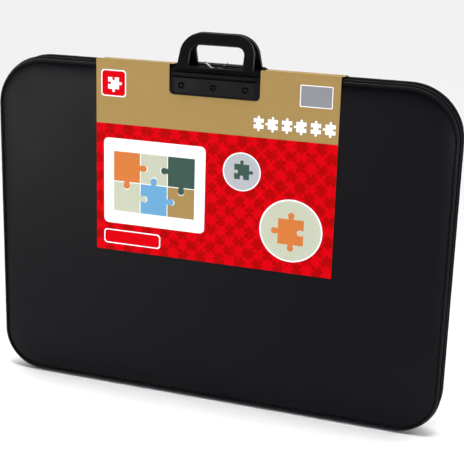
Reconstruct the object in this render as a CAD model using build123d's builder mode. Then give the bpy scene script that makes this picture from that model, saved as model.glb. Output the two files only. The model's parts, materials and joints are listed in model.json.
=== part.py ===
from build123d import *
from math import asin, atan, cos, degrees, radians, sin, tan
import os

os.makedirs("parts", exist_ok=True)

# Puzzle carrier: two padded halves hinged on a spine, closed by a zip, carried by two grips that meet.
# Millimetres. X runs along the width, Y through the depth (front is -Y), Z up. Z = 0 is the bottom edge.
# Each front piece is made first; its twin at the back is the same piece mirrored in the mid-plane.
# A place across the section is given as a depth from the mid-plane and an inset from the outer outline.

# Overall form
width = 810.0
height = 590.0
corner_radius = 90.0
foot_radius = 75.0        # the two corners beside the spine are tighter
half_gap = 0.9            # each half's zip teeth stay this far from the mid-plane
clearance = 0.3           # between neighbours that only lie against each other

# Padded panel, from the outside inwards
panel_face = 26.0         # depth of the flat of the padded face
cover_thickness = 1.2
foam_thickness = 4.0
board_thickness = 3.0
lining_thickness = 1.2
margin_width = 3.6        # flat sewn margin between the bead and the padding
crown_width = 15.5        # how far in from the margin the padding reaches its full height
crown_height = 4.0
crown_shape = [(0, 0), (0.13, 0.5), (0.42, 0.84), (1, 1)]  # shares of that width and of the rise

# Piping bead, which is also the line that each half folds about
bead_radius = 2.3
bead_depth = 22.0
bead_inset = 5.3

# Gusset, the wall between bead and zip
gusset_thickness = 1.4
gusset_crest_depth = 13.5
gusset_seam_depth = 19.5
gusset_seam_inset = 4.3
gusset_edge_depth = 6.0
gusset_edge_inset = 3.6

# Zip
tape_thickness = 0.8
tape_width = 5.1
chain_width = 2.0
chain_thickness = 2.2
zip_inset = 5.6
zip_end = 100.0           # the teeth end this high above the bottom, on both sides
stop_length = 5.0
stop_height = 3.6
stop_play = 0.1

# Zip sliders and pulls
slider_length = 13.0
slider_width = 9.2
slider_plate = 1.3
slider_play = 0.6
post_width = 1.2
post_length = 3.5
bridge_length = 8.4
bridge_width = 2.0
bridge_bar = 0.9
bridge_leg = 1.2
pull_length = 17.0
pull_width = 7.0
pull_thickness = 1.4
pull_window = 4.6
pull_arm = 1.9
pull_eye = 1.9
pull_lean = 40.0          # a pull at rest is propped by the bridge at this angle
right_pivot_x = 1.0
left_pivot_x = -14.0

# Spine, the strip under both halves
spine_board_thickness = 2.5
spine_lining_thickness = 1.0

# Carrying handle, a moulding with two thin-line hinges
handle_width = 154.0
handle_front_width = 138.0
handle_thickness = 5.5
plate_height = 29.5
plate_bottom_bevel = 2.5
plate_corner = 7.0
hinge_pitch = 8.0         # distance between the two hinge lines
hinge_web = 0.4           # the hinge lines run this far in front of the moulding's back
hinge_drop = 14.0         # the lower hinge line is this far below the case's top edge
hinge_gap = 0.15
groove_angle = 15.1       # slope of each wall of a hinge groove
link_lean = 8.0
meeting_gap = 0.25        # the two grips stop this far from the mid-plane
bar_height = 7.8
grip_thickness = 8.0
grip_height = 66.0
grip_half_width = 66.0
grip_draft = 4.0
grip_corner = 35.0
opening_half_width = 47.5
opening_top = 46.5
opening_corner = 16.0
grip_edge = 2.2
grip_wall = 2.2
grip_core_depth = 5.3
rib_thickness = 1.6
rib_pitch = 15.0
top_ribs = (-2, -1, 0, 1, 2)
leg_ribs = (1, 2)

# Rivets that hold the handle
rivet_pitch = 55.5
rivet_steps = (-1, 0, 1)
rivet_drop = 14.3         # the rivets lie this far below the lower hinge line
rivet_shank = 1.9
rivet_head = 4.6
rivet_dome = 1.8
rivet_skirt = 0.4
rivet_recess = 5.7
rivet_recess_depth = 2.4
rivet_clinch = 3.2
clinch_thickness = 0.7
rivet_play = 0.1
strip_length = 150.0
strip_width = 15.0
strip_thickness = 1.0

# Loose insert boards
insert_margin = 12.0
insert_core_thickness = 2.4
insert_felt_thickness = 1.0
binding_thickness = 0.6
binding_width = 9.0

# Card sleeve over the top edge
card_thickness = 0.6
card_width = 424.0
card_drop = 332.0         # how far the sleeve hangs below the case's top edge
card_corner = 5.0
card_lift = 1.4           # the card's top strip rides this far above the case
card_bend = 4.0
notch_clearance = 2.0
notch_corner = 8.0

# Levels and places that follow from the sizes above
cover_floor = panel_face - cover_thickness - foam_thickness
margin_face = panel_face - crown_height
board_floor = cover_floor - board_thickness
lining_floor = board_floor - lining_thickness
panel_inset = bead_inset + bead_radius + clearance
crown_inset = panel_inset + margin_width
board_inset = panel_inset + clearance
side_run = width / 2 - corner_radius
foot_run = width / 2 - foot_radius
zip_z = height - zip_inset
hinge_height = height - hinge_drop
rivet_height = hinge_height - rivet_drop
card_bottom = height - card_drop
foam_top = panel_face - cover_thickness

face_plane = Plane(origin=(0, 0, height / 2), x_dir=(1, 0, 0), z_dir=(0, -1, 0))
section_plane = Plane(origin=(-foot_run, 0, 0), x_dir=(0, -1, 0), z_dir=(-1, 0, 0))
side_plane = Plane(origin=(-width / 2, 0, zip_end), x_dir=(0, -1, 0), z_dir=(0, 0, 1))
card_plane = Plane(origin=(0, 0, 0), x_dir=(0, -1, 0), z_dir=(-1, 0, 0))
pieces = {}


def keep(name, part):
    """Label a finished piece and remember it under its node name."""
    part.label = name
    pieces[name] = part


def outline(inset):
    """The case's rounded outline, drawn in by an inset, with tighter corners at its foot."""
    with BuildSketch(mode=Mode.PRIVATE) as shape:
        Rectangle(width - 2 * inset, height - 2 * inset)
        fillet(shape.vertices().group_by(Axis.Y)[-1], radius=corner_radius - inset)
        fillet(shape.vertices().group_by(Axis.Y)[0], radius=foot_radius - inset)
    return shape.sketch


def slab(inset, low, high, mode=Mode.ADD):
    """A flat layer of the case between two depths."""
    with BuildSketch(face_plane.offset(low)) as layer:
        add(outline(inset))
    extrude(layer.sketch, amount=high - low, mode=mode)


def crown(inset, low, rise, mode=Mode.ADD):
    """A padded form, lofted through ever smaller outlines as it rises from a depth."""
    faces = []
    for across, up in crown_shape:
        with BuildSketch(face_plane.offset(low + up * rise)) as level:
            add(outline(inset + across * crown_width))
        faces.append(level.sketch.face())
    loft(faces, mode=mode)


def around(profile, low_end=None, closed=False):
    """Sweep a (depth, inset) profile up the left side, over the top and down the right side."""
    with BuildLine(Plane(origin=(0, 0, 0), x_dir=(1, 0, 0), z_dir=(0, -1, 0))) as route:
        low_z = foot_radius
        if low_end is None:
            left_low = JernArc((-foot_run, 0), (-1, 0), foot_radius, -90)
        else:
            low_z = low_end
        left = Line((-width / 2, low_z), (-width / 2, height - corner_radius))
        left_high = JernArc(left @ 1, (0, 1), corner_radius, -90)
        top = Line(left_high @ 1, (side_run, height))
        right_high = JernArc(top @ 1, (1, 0), corner_radius, -90)
        right = Line(right_high @ 1, (width / 2, low_z))
        if low_end is None:
            right_low = JernArc(right @ 1, (0, -1), foot_radius, -90)
        if closed:
            Line(right_low @ 1, left_low @ 0)
    sweep(profile.sketch, path=route.wire())


# The padded panel of the front half
foam_inset = crown_inset + cover_thickness
rivet_places = [(x * rivet_pitch, rivet_height - height / 2) for x in rivet_steps]


def rivet_holes(low, high, radius=rivet_shank + rivet_play):
    """Clearance holes for the rivets through a layer."""
    with BuildSketch(face_plane.offset(low)) as holes:
        with Locations(*rivet_places):
            Circle(radius)
    extrude(holes.sketch, amount=high - low, mode=Mode.SUBTRACT)


with BuildPart() as front_foam:
    crown(foam_inset, cover_floor, foam_thickness)
    rivet_holes(cover_floor, foam_top)
keep("front_foam", front_foam.part)

with BuildPart() as front_cover:
    slab(panel_inset, cover_floor, margin_face)
    crown(crown_inset, margin_face, crown_height)
    crown(foam_inset, cover_floor, foam_thickness, mode=Mode.SUBTRACT)
    rivet_holes(cover_floor, panel_face)
keep("front_cover", front_cover.part)

with BuildPart() as front_board:
    slab(board_inset, board_floor, cover_floor)
    rivet_holes(board_floor, cover_floor)
    with BuildSketch(face_plane.offset(board_floor)):
        with Locations((0, rivet_height - height / 2)):
            RectangleRounded(strip_length + 2 * clearance, strip_width + 2 * clearance, strip_width / 3)
    extrude(amount=strip_thickness + clinch_thickness + rivet_play, mode=Mode.SUBTRACT)
keep("front_board", front_board.part)

with BuildPart() as front_lining:
    slab(board_inset, lining_floor, board_floor)
keep("front_lining", front_lining.part)

# Bead, gusset and zip run round the panel
with BuildSketch(section_plane) as bead_profile:
    with Locations((bead_depth, bead_inset)):
        Circle(bead_radius)

with BuildPart() as front_piping:
    around(bead_profile, closed=True)
keep("front_piping", front_piping.part)

# The gusset rises from its seam flange to a crest, then dips to the zip.
seam_in = gusset_seam_depth - gusset_thickness
seam_turn = gusset_seam_inset + 0.5 * gusset_thickness

with BuildSketch(section_plane) as gusset_profile:
    with BuildLine():
        rise = TangentArc((gusset_crest_depth, 0), (gusset_seam_depth, gusset_seam_inset), tangent=(1, 0))
        dip = TangentArc((gusset_crest_depth, 0), (gusset_edge_depth, gusset_edge_inset), tangent=(-1, 0))
        inner_rise = TangentArc((gusset_crest_depth, gusset_thickness), (seam_in, seam_turn), tangent=(1, 0))
        inner_dip = TangentArc(
            (gusset_crest_depth, gusset_thickness),
            (gusset_edge_depth, gusset_edge_inset + gusset_thickness),
            tangent=(-1, 0),
        )
        Line(dip @ 1, inner_dip @ 1)
        Polyline(inner_rise @ 1, (seam_in, panel_inset), (gusset_seam_depth, panel_inset), rise @ 1)
    make_face()

with BuildPart() as front_gusset:
    around(gusset_profile)
keep("front_gusset", front_gusset.part)

tape_start = half_gap + chain_width
with BuildSketch(section_plane) as tape_profile:
    with Locations((tape_start, zip_inset)):
        Rectangle(tape_width, tape_thickness, align=(Align.MIN, Align.CENTER))

with BuildPart() as front_zip_tape:
    around(tape_profile)
keep("front_zip_tape", front_zip_tape.part)

with BuildSketch(side_plane) as chain_profile:
    with Locations((half_gap, zip_inset)):
        Rectangle(chain_width, chain_thickness, align=(Align.MIN, Align.CENTER))

with BuildPart() as front_zip_chain:
    around(chain_profile, low_end=zip_end)
keep("front_zip_chain", front_zip_chain.part)

# A bent metal stop hugs each end of the teeth
stop_reach = chain_width + half_gap / 2 + clearance
with BuildPart() as front_zip_stops:
    for side in (-1, 1):
        stop_x = side * (width / 2 - zip_inset)
        with BuildSketch(Plane.XY.offset(zip_end)):
            with Locations((stop_x, -half_gap / 2)):
                Rectangle(stop_height, stop_reach, align=(Align.CENTER, Align.MAX))
            with Locations((stop_x, -half_gap + stop_play)):
                Rectangle(
                    chain_thickness + 2 * stop_play,
                    stop_reach,
                    align=(Align.CENTER, Align.MAX),
                    mode=Mode.SUBTRACT,
                )
        extrude(amount=stop_length)
keep("front_zip_stops", front_zip_stops.part)

# The handle: plate, link and grip are one moulding that bends at two grooves
groove_slope = tan(radians(groove_angle))
lower_depth = panel_face + hinge_web
upper_depth = lower_depth - hinge_pitch * sin(radians(link_lean))
upper_z = hinge_height + hinge_pitch * cos(radians(link_lean))
grip_reach = (grip_height**2 + hinge_web**2) ** 0.5
grip_lean = degrees(asin((upper_depth - meeting_gap) / grip_reach) - atan(hinge_web / grip_height))


def hinge_plane(depth, z, lean):
    """The moulding's back plane above a hinge line, leaning in by an angle."""
    out_y = -cos(radians(lean))
    out_z = sin(radians(lean))
    origin = (0, -depth - hinge_web * out_y, z - hinge_web * out_z)
    return Plane(origin=origin, x_dir=(1, 0, 0), z_dir=(0, out_y, out_z))


def bevelled(plane, back_low, back_high, front_low, front_high, corner=0.0):
    """A strip of the moulding, wider at its back than at its front."""
    faces = []
    levels = [(0, handle_width, back_low, back_high), (handle_thickness, handle_front_width, front_low, front_high)]
    for level, across, low, high in levels:
        with BuildSketch(plane.offset(level)) as shape:
            with Locations((0, low)):
                Rectangle(across, high - low, align=(Align.CENTER, Align.MIN))
            if corner:
                fillet(shape.vertices().group_by(Axis.Y)[0], radius=corner)
        faces.append(shape.sketch.face())
    loft(faces)


plate_plane = hinge_plane(lower_depth, hinge_height, 0)
link_plane = hinge_plane(lower_depth, hinge_height, link_lean)
grip_plane = hinge_plane(upper_depth, upper_z, grip_lean)
groove_front = hinge_gap + handle_thickness * groove_slope
plate_rivets = [(x * rivet_pitch, -rivet_drop) for x in rivet_steps]

with BuildPart() as front_handle_plate:
    bevelled(
        plate_plane,
        -plate_height,
        -hinge_gap,
        plate_bottom_bevel - plate_height,
        -groove_front,
        corner=plate_corner,
    )
    with BuildSketch(plate_plane):
        with Locations(*plate_rivets):
            Circle(rivet_shank + rivet_play)
    extrude(amount=handle_thickness, mode=Mode.SUBTRACT)
    with BuildSketch(plate_plane.offset(handle_thickness)):
        with Locations(*plate_rivets):
            Circle(rivet_recess)
    extrude(amount=-rivet_recess_depth, mode=Mode.SUBTRACT)
keep("front_handle_plate", front_handle_plate.part)

with BuildPart() as front_handle_link:
    bevelled(link_plane, hinge_gap, hinge_pitch - hinge_gap, groove_front, hinge_pitch - groove_front)
keep("front_handle_link", front_handle_link.part)


def arch(plane, margin=0.0):
    """The grip's arch in front view, drawn in on both edges by a margin."""
    foot = grip_half_width - margin
    shoulder = foot - grip_draft
    with BuildSketch(plane) as shape:
        with BuildLine():
            outer = FilletPolyline(
                (-foot, arch_foot + margin),
                (-shoulder, grip_height - margin),
                (shoulder, grip_height - margin),
                (foot, arch_foot + margin),
                radius=grip_corner - margin,
            )
            Line(outer @ 1, outer @ 0)
        make_face()
        hole = opening_half_width + margin
        with BuildLine():
            inner = FilletPolyline(
                (-hole, bar_height - margin),
                (-hole, opening_top + margin),
                (hole, opening_top + margin),
                (hole, bar_height - margin),
                radius=opening_corner + margin,
            )
            Line(inner @ 1, inner @ 0)
        make_face(mode=Mode.SUBTRACT)
    return shape.sketch


arch_foot = bar_height - 0.5 * handle_thickness

with BuildPart() as front_grip:
    extrude(arch(grip_plane), amount=grip_thickness)
    rim = front_grip.edges().filter_by(
        lambda e: abs(grip_plane.to_local_coords(e.center()).Z - grip_thickness) < 0.01
        and grip_plane.to_local_coords(e.center()).Y > arch_foot + 0.01
    )
    fillet(rim, radius=grip_edge)
    bevelled(grip_plane, hinge_gap, bar_height, groove_front, bar_height)
    # The inner side is cored out, with ribs left standing across it
    with BuildSketch(grip_plane) as core:
        add(arch(Plane.XY, margin=grip_wall))
        with Locations(*[(x * rib_pitch, grip_height) for x in top_ribs]):
            Rectangle(rib_thickness, 2 * (grip_height - opening_top), mode=Mode.SUBTRACT)
        with Locations(*[(0, bar_height + y * rib_pitch) for y in leg_ribs]):
            Rectangle(2 * grip_half_width, rib_thickness, mode=Mode.SUBTRACT)
        with Locations((0, 0)):
            Rectangle(
                2 * grip_half_width,
                bar_height + grip_wall,
                align=(Align.CENTER, Align.MIN),
                mode=Mode.SUBTRACT,
            )
    extrude(amount=grip_core_depth, mode=Mode.SUBTRACT)
keep("front_grip", front_grip.part)

# Three rivets clamp the plate through the panel to a metal strip let into the board
clinch_depth = board_floor + rivet_play
strip_depth = clinch_depth + clinch_thickness
recess_floor = panel_face + handle_thickness - rivet_recess_depth

with BuildPart() as front_rivets:
    for x in rivet_steps:
        with BuildSketch(Plane(origin=(x * rivet_pitch, 0, rivet_height), x_dir=(1, 0, 0), z_dir=(0, 0, -1))):
            with BuildLine():
                stem = Polyline(
                    (0, clinch_depth),
                    (rivet_clinch, clinch_depth),
                    (rivet_clinch, strip_depth),
                    (rivet_shank, strip_depth),
                    (rivet_shank, recess_floor),
                    (rivet_head, recess_floor),
                    (rivet_head, recess_floor + rivet_skirt),
                )
                dome = TangentArc((0, recess_floor + rivet_dome), stem @ 1, tangent=(1, 0))
                Line(dome @ 0, stem @ 0)
            make_face()
        revolve(axis=Axis((x * rivet_pitch, 0, rivet_height), (0, -1, 0)))
keep("front_rivets", front_rivets.part)

with BuildPart() as front_rivet_strip:
    with BuildSketch(face_plane.offset(strip_depth)):
        with Locations((0, rivet_height - height / 2)):
            RectangleRounded(strip_length, strip_width, strip_width / 3)
    extrude(amount=strip_thickness)
    rivet_holes(strip_depth, strip_depth + strip_thickness)
keep("front_rivet_strip", front_rivet_strip.part)

# A loose insert board: bound core with a felt face
binding_high = lining_floor - clearance
core_high = binding_high - binding_thickness
core_low = core_high - insert_core_thickness
binding_low = core_low - binding_thickness
felt_low = core_low - insert_felt_thickness
core_inset = insert_margin + binding_thickness
felt_inset = insert_margin + binding_width + clearance

with BuildPart() as front_insert_board:
    slab(core_inset, core_low, core_high)
keep("front_insert_board", front_insert_board.part)

with BuildPart() as front_insert_binding:
    slab(insert_margin, binding_low, binding_high)
    slab(core_inset, core_low, core_high, mode=Mode.SUBTRACT)
    slab(insert_margin + binding_width, binding_low, binding_high, mode=Mode.SUBTRACT)
keep("front_insert_binding", front_insert_binding.part)

with BuildPart() as front_insert_felt:
    slab(felt_inset, felt_low, core_low)
keep("front_insert_felt", front_insert_felt.part)

# Every piece so far has its mirrored twin on the back half
for name, part in list(pieces.items()):
    with BuildPart() as twin:
        mirror(part, about=Plane.XZ)
    keep(name.replace("front_", "back_"), twin.part)

# Card sleeve: the front card carries the top strip, the back card ends under it
card_back = panel_face + clearance
card_front = card_back + card_thickness
strip_low = height + card_lift
strip_high = strip_low + card_thickness
notch_bottom = hinge_height - plate_height - notch_clearance


def cut_card():
    """Trim the sleeve's hole for the handles and round its lower corners."""
    with BuildSketch(Plane(origin=(0, 0, notch_bottom), x_dir=(1, 0, 0), z_dir=(0, -1, 0))) as hole:
        RectangleRounded(
            handle_width + 2 * notch_clearance,
            height - notch_bottom + 2 * notch_corner,
            notch_corner,
            align=(Align.CENTER, Align.MIN),
        )
    extrude(hole.sketch, amount=2 * panel_face, both=True, mode=Mode.SUBTRACT)


with BuildPart() as front_card:
    with BuildSketch(card_plane):
        with BuildLine():
            outside = FilletPolyline(
                (card_front, card_bottom),
                (card_front, strip_high),
                (-card_back, strip_high),
                radius=card_bend,
            )
            inside = FilletPolyline(
                (card_back, card_bottom),
                (card_back, strip_low),
                (-card_back, strip_low),
                radius=card_bend - card_thickness,
            )
            Line(outside @ 0, inside @ 0)
            Line(outside @ 1, inside @ 1)
        make_face()
    extrude(amount=card_width / 2, both=True)
    cut_card()
    fillet(front_card.edges().filter_by(Axis.Y).group_by(Axis.Z)[0], radius=card_corner)
keep("front_card", front_card.part)

with BuildPart() as back_card:
    with BuildSketch(card_plane):
        with Locations((-card_back, card_bottom)):
            Rectangle(card_thickness, strip_low - clearance - card_bottom, align=(Align.MAX, Align.MIN))
    extrude(amount=card_width / 2, both=True)
    cut_card()
    fillet(back_card.edges().filter_by(Axis.Y).group_by(Axis.Z)[0], radius=card_corner)
keep("back_card", back_card.part)

# Spine: one flexible strip under both halves, folding beside each bead
spine_length = 2 * (foot_run - clearance)
spine_plane = Plane(origin=(-spine_length / 2, 0, 0), x_dir=(0, -1, 0), z_dir=(-1, 0, 0))

with BuildPart() as spine_cover:
    with BuildSketch(spine_plane):
        with BuildLine():
            base = Line((0, 0), (gusset_crest_depth, 0))
            bend = TangentArc(base @ 1, (gusset_seam_depth, gusset_seam_inset), tangent=(1, 0))
            inner_bend = TangentArc((gusset_crest_depth, gusset_thickness), (seam_in, seam_turn), tangent=(1, 0))
            Polyline(bend @ 1, (gusset_seam_depth, panel_inset), (seam_in, panel_inset), inner_bend @ 1)
            Polyline(inner_bend @ 0, (0, gusset_thickness), (0, 0))
        make_face()
        mirror(about=Plane.YZ)
    extrude(amount=-spine_length)
keep("spine_cover", spine_cover.part)

spine_board_top = gusset_thickness + spine_board_thickness
with BuildPart() as spine_board:
    with BuildSketch(Plane.XY.offset(gusset_thickness)):
        Rectangle(spine_length, 2 * (gusset_crest_depth - clearance))
    extrude(amount=spine_board_thickness)
keep("spine_board", spine_board.part)

with BuildPart() as spine_lining:
    with BuildSketch(Plane.XY.offset(spine_board_top)):
        Rectangle(spine_length, 2 * (seam_in - 3 * clearance))
    extrude(amount=spine_lining_thickness)
keep("spine_lining", spine_lining.part)

# Two sliders meet at the middle of the top, each with a pull in its bridge
channel = chain_thickness / 2 + slider_play
deck = zip_z + channel + slider_plate
pivot_z = deck + pull_thickness / 2 + clearance / 2
bridge_under = pivot_z + pull_thickness / 2 + clearance / 2
pull_tip = pull_width / 2


def zip_slider(pivot_x, nose):
    """A slider centred on its pull's pivot; nose is the side that its post is on."""
    post_x = pivot_x + nose * (slider_length / 2 - post_length / 2 - slider_plate)
    for level in (zip_z - channel - slider_plate, zip_z + channel):
        with BuildSketch(Plane.XY.offset(level)) as wing:
            with Locations((pivot_x, 0)):
                RectangleRounded(slider_length, slider_width, slider_width / 3)
        extrude(wing.sketch, amount=slider_plate)
    with BuildSketch(Plane.XY.offset(zip_z - channel)) as post:
        with Locations((post_x, 0)):
            Rectangle(post_length, post_width)
    extrude(post.sketch, amount=2 * channel)
    with BuildSketch(Plane(origin=(pivot_x, 0, deck), x_dir=(1, 0, 0), z_dir=(0, -1, 0))) as bridge:
        arch_top = bridge_under + bridge_bar - deck
        Rectangle(bridge_length, arch_top, align=(Align.CENTER, Align.MIN))
        Rectangle(
            bridge_length - 2 * bridge_leg,
            bridge_under - deck,
            align=(Align.CENTER, Align.MIN),
            mode=Mode.SUBTRACT,
        )
    extrude(bridge.sketch, amount=bridge_width / 2, both=True)


def zip_pull(pivot_x, side):
    """A flat metal pull with an eye bar, leaning up and away to one side."""
    lean_x = side * cos(radians(pull_lean))
    lean_z = sin(radians(pull_lean))
    plane = Plane(origin=(pivot_x, 0, pivot_z), x_dir=(lean_x, 0, lean_z), z_dir=(-side * lean_z, 0, abs(lean_x)))
    with BuildSketch(plane) as blank:
        Rectangle(pull_length - pull_tip, pull_width, align=(Align.MIN, Align.CENTER))
        with Locations((pull_length - pull_tip, 0)):
            Circle(pull_tip)
            Circle(pull_eye, mode=Mode.SUBTRACT)
        Rectangle(
            pull_window,
            pull_width - 2 * pull_arm,
            align=(Align.MIN, Align.CENTER),
            mode=Mode.SUBTRACT,
        )
    extrude(blank.sketch, amount=pull_thickness / 2, both=True)
    with BuildSketch(Plane(origin=(pivot_x, 0, pivot_z), x_dir=(1, 0, 0), z_dir=(0, -1, 0))) as eye_bar:
        Circle(pull_thickness / 2)
    extrude(eye_bar.sketch, amount=pull_width / 2, both=True)


with BuildPart() as right_slider:
    zip_slider(right_pivot_x, -1)
keep("right_slider", right_slider.part)

with BuildPart() as left_slider:
    zip_slider(left_pivot_x, 1)
keep("left_slider", left_slider.part)

with BuildPart() as right_pull:
    zip_pull(right_pivot_x, 1)
keep("right_pull", right_pull.part)

with BuildPart() as left_pull:
    zip_pull(left_pivot_x, -1)
keep("left_pull", left_pull.part)

for name, part in pieces.items():
    export_step(part, "parts/" + name + ".step")

print("fold axes at depth", bead_depth, "height", bead_inset)
print("link axis at depth", round(lower_depth, 4), "height", round(hinge_height, 4))
print("grip axis at depth", round(upper_depth, 4), "height", round(upper_z, 4), "lean", round(grip_lean, 3))
print("pull pivots at height", round(pivot_z, 4))
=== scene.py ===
# %% [markdown]
# # Puzzle carrier
# A flat case for carrying a half-finished jigsaw. Two padded halves fold on a narrow spine and a zip
# closes them. Each half has one grip, and the two grips lean together into one handle. A printed card
# sleeve hangs over the top edge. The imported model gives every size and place, so nothing is fitted here.
# Lengths are metres. X is the width, -Y is the front and Z is up.

# %% Load the frame
import json
import math
import random

import bmesh
import bpy
import numpy as np
from mathutils import Matrix, Vector, noise


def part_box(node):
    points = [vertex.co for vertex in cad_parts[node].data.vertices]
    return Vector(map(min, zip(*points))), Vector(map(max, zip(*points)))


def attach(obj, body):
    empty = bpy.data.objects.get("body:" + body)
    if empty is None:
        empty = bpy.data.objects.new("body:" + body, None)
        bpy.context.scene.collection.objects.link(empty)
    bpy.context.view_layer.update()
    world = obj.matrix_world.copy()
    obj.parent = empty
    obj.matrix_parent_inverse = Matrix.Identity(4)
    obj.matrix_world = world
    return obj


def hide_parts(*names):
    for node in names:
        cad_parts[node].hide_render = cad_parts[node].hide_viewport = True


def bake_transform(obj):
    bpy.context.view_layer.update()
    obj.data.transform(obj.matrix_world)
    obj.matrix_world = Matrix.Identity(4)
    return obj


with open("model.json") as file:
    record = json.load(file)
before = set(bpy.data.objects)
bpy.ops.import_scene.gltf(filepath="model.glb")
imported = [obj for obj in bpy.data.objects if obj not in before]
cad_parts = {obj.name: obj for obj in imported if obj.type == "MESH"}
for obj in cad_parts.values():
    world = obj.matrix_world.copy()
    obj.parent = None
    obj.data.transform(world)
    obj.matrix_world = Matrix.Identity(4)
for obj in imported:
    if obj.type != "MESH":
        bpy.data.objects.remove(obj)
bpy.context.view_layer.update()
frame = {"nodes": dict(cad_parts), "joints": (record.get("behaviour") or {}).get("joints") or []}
MM = 0.001

# %% [markdown]
# ## Camera
# The photograph was taken from a little above and to the right. Its optical axis lies above and left of
# the middle of the picture, so the lens is shifted by a small share of the frame. The place and angles
# were worked out from the case's outline and the sleeve's edges, and the focal length is in pixels of a
# frame 464 pixels wide.

# %% Place the camera
FRAME_PIXELS = 464
FOCAL_PIXELS = 1117.2
CAMERA_PLACE = Vector((0.58754, -1.74465, 0.882))
CAMERA_YAW = math.radians(19.274)
CAMERA_PITCH = math.radians(15.508)
CAMERA_ROLL = math.radians(1.244)
CAMERA_SHIFT = (0.06, -0.08)
SENSOR_WIDTH = 36.0


def camera_turn(yaw, pitch, roll):
    """The camera's rotation, with yaw to the left, pitch down and roll about its own axis."""
    forward = Vector((-math.sin(yaw) * math.cos(pitch), math.cos(yaw) * math.cos(pitch), -math.sin(pitch)))
    level = Vector((math.cos(yaw), math.sin(yaw), 0))
    up = level.cross(forward)
    right = level * math.cos(roll) + up * math.sin(roll)
    top = up * math.cos(roll) - level * math.sin(roll)
    return Matrix((right, top, -forward)).transposed().to_4x4()


lens = bpy.data.cameras.new("camera")
lens.sensor_width = SENSOR_WIDTH
lens.lens = FOCAL_PIXELS / FRAME_PIXELS * SENSOR_WIDTH
lens.shift_x, lens.shift_y = CAMERA_SHIFT
lens.clip_end = 50
camera = bpy.data.objects.new("camera", lens)
camera.matrix_world = Matrix.Translation(CAMERA_PLACE) @ camera_turn(CAMERA_YAW, CAMERA_PITCH, CAMERA_ROLL)
bpy.context.scene.collection.objects.link(camera)
bpy.context.scene.camera = camera
print("focal length:", round(lens.lens, 2), "mm")

# %% [markdown]
# ## Helpers for meshes
# Every piece is a plain mesh at the origin, with its place in its points. One helper turns points and
# faces into an object, one merges doubles and turns the faces outwards, and one reads an object back
# with its modifiers, so that only the finished mesh is kept. Many pieces are rows of rings, so two more
# helpers give the faces between the rings and the faces that close their ends. The last one sets a piece
# in the place of a packed one.

# %% Mesh helpers
SHARP_ANGLE = math.radians(38)


def add_object(name, mesh, material=None):
    """Put a mesh into the scene as an object, with a material for all of it."""
    obj = bpy.data.objects.new(name, mesh)
    bpy.context.scene.collection.objects.link(obj)
    if material is not None:
        mesh.materials.clear()
        mesh.materials.append(material)
    return obj


def close_mesh(mesh, join=1e-6):
    """Merge doubles, turn the faces outwards and shade the mesh smoothly between its sharp edges."""
    work = bmesh.new()
    work.from_mesh(mesh)
    bmesh.ops.remove_doubles(work, verts=work.verts, dist=join)
    bmesh.ops.dissolve_degenerate(work, edges=work.edges, dist=join)
    bmesh.ops.recalc_face_normals(work, faces=work.faces)
    work.to_mesh(mesh)
    work.free()
    mesh.shade_smooth()
    mesh.set_sharp_from_angle(angle=SHARP_ANGLE)
    mesh.update()
    return mesh


def mesh_from(name, points, faces, join=1e-6):
    """A closed mesh from points and faces."""
    mesh = bpy.data.meshes.new(name)
    mesh.from_pydata([tuple(p) for p in points], [], faces)
    return close_mesh(mesh, join=join)


def finished(obj):
    """The object's mesh with its modifiers worked in, and the modifiers gone."""
    graph = bpy.context.evaluated_depsgraph_get()
    mesh = bpy.data.meshes.new_from_object(obj.evaluated_get(graph), depsgraph=graph)
    obj.modifiers.clear()
    name, old = obj.name, obj.data
    if obj.type == "MESH":
        obj.data = mesh
        bpy.data.meshes.remove(old)
        return obj
    bpy.data.objects.remove(obj)
    return add_object(name, mesh)


def triangles(obj):
    """How many triangles an object has."""
    return sum(len(face.vertices) - 2 for face in obj.data.polygons)


def skin(rings, count, closed_run=False):
    """Four-sided faces between rings of as many points each. closed_run joins the last to the first."""
    faces = []
    for i in range(rings if closed_run else rings - 1):
        after = (i + 1) % rings
        for j in range(count):
            k = (j + 1) % count
            faces.append((i * count + j, i * count + k, after * count + k, after * count + j))
    return faces


def end_caps(rings, count):
    """The two faces that close a run of rings at its ends."""
    last = (rings - 1) * count
    return [tuple(range(count)), tuple(range(last, last + count))[::-1]]


def stand_in(piece, body, node):
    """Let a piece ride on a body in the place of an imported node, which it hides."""
    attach(piece, body)
    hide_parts(node)
    print(piece.name, triangles(piece), "triangles")


# %% [markdown]
# ## The outline
# Nearly every piece of the case follows one rounded rectangle: the panels, the piping, the side wall,
# the zip and the boards. Its two lower corners are tighter than the upper ones. So the outline is worked
# out once, as stations. A station is a point on the outer edge, the direction that points outwards there,
# and how far along the edge it lies. Moving a station inwards along its direction gives the same outline,
# drawn in.

# %% Work out the outline
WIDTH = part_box("front_gusset")[1].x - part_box("front_gusset")[0].x
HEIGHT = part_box("front_gusset")[1].z
CORNER = 90 * MM
FOOT_CORNER = 75 * MM
RUN = WIDTH / 2 - CORNER
FOOT_RUN = WIDTH / 2 - FOOT_CORNER


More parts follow.
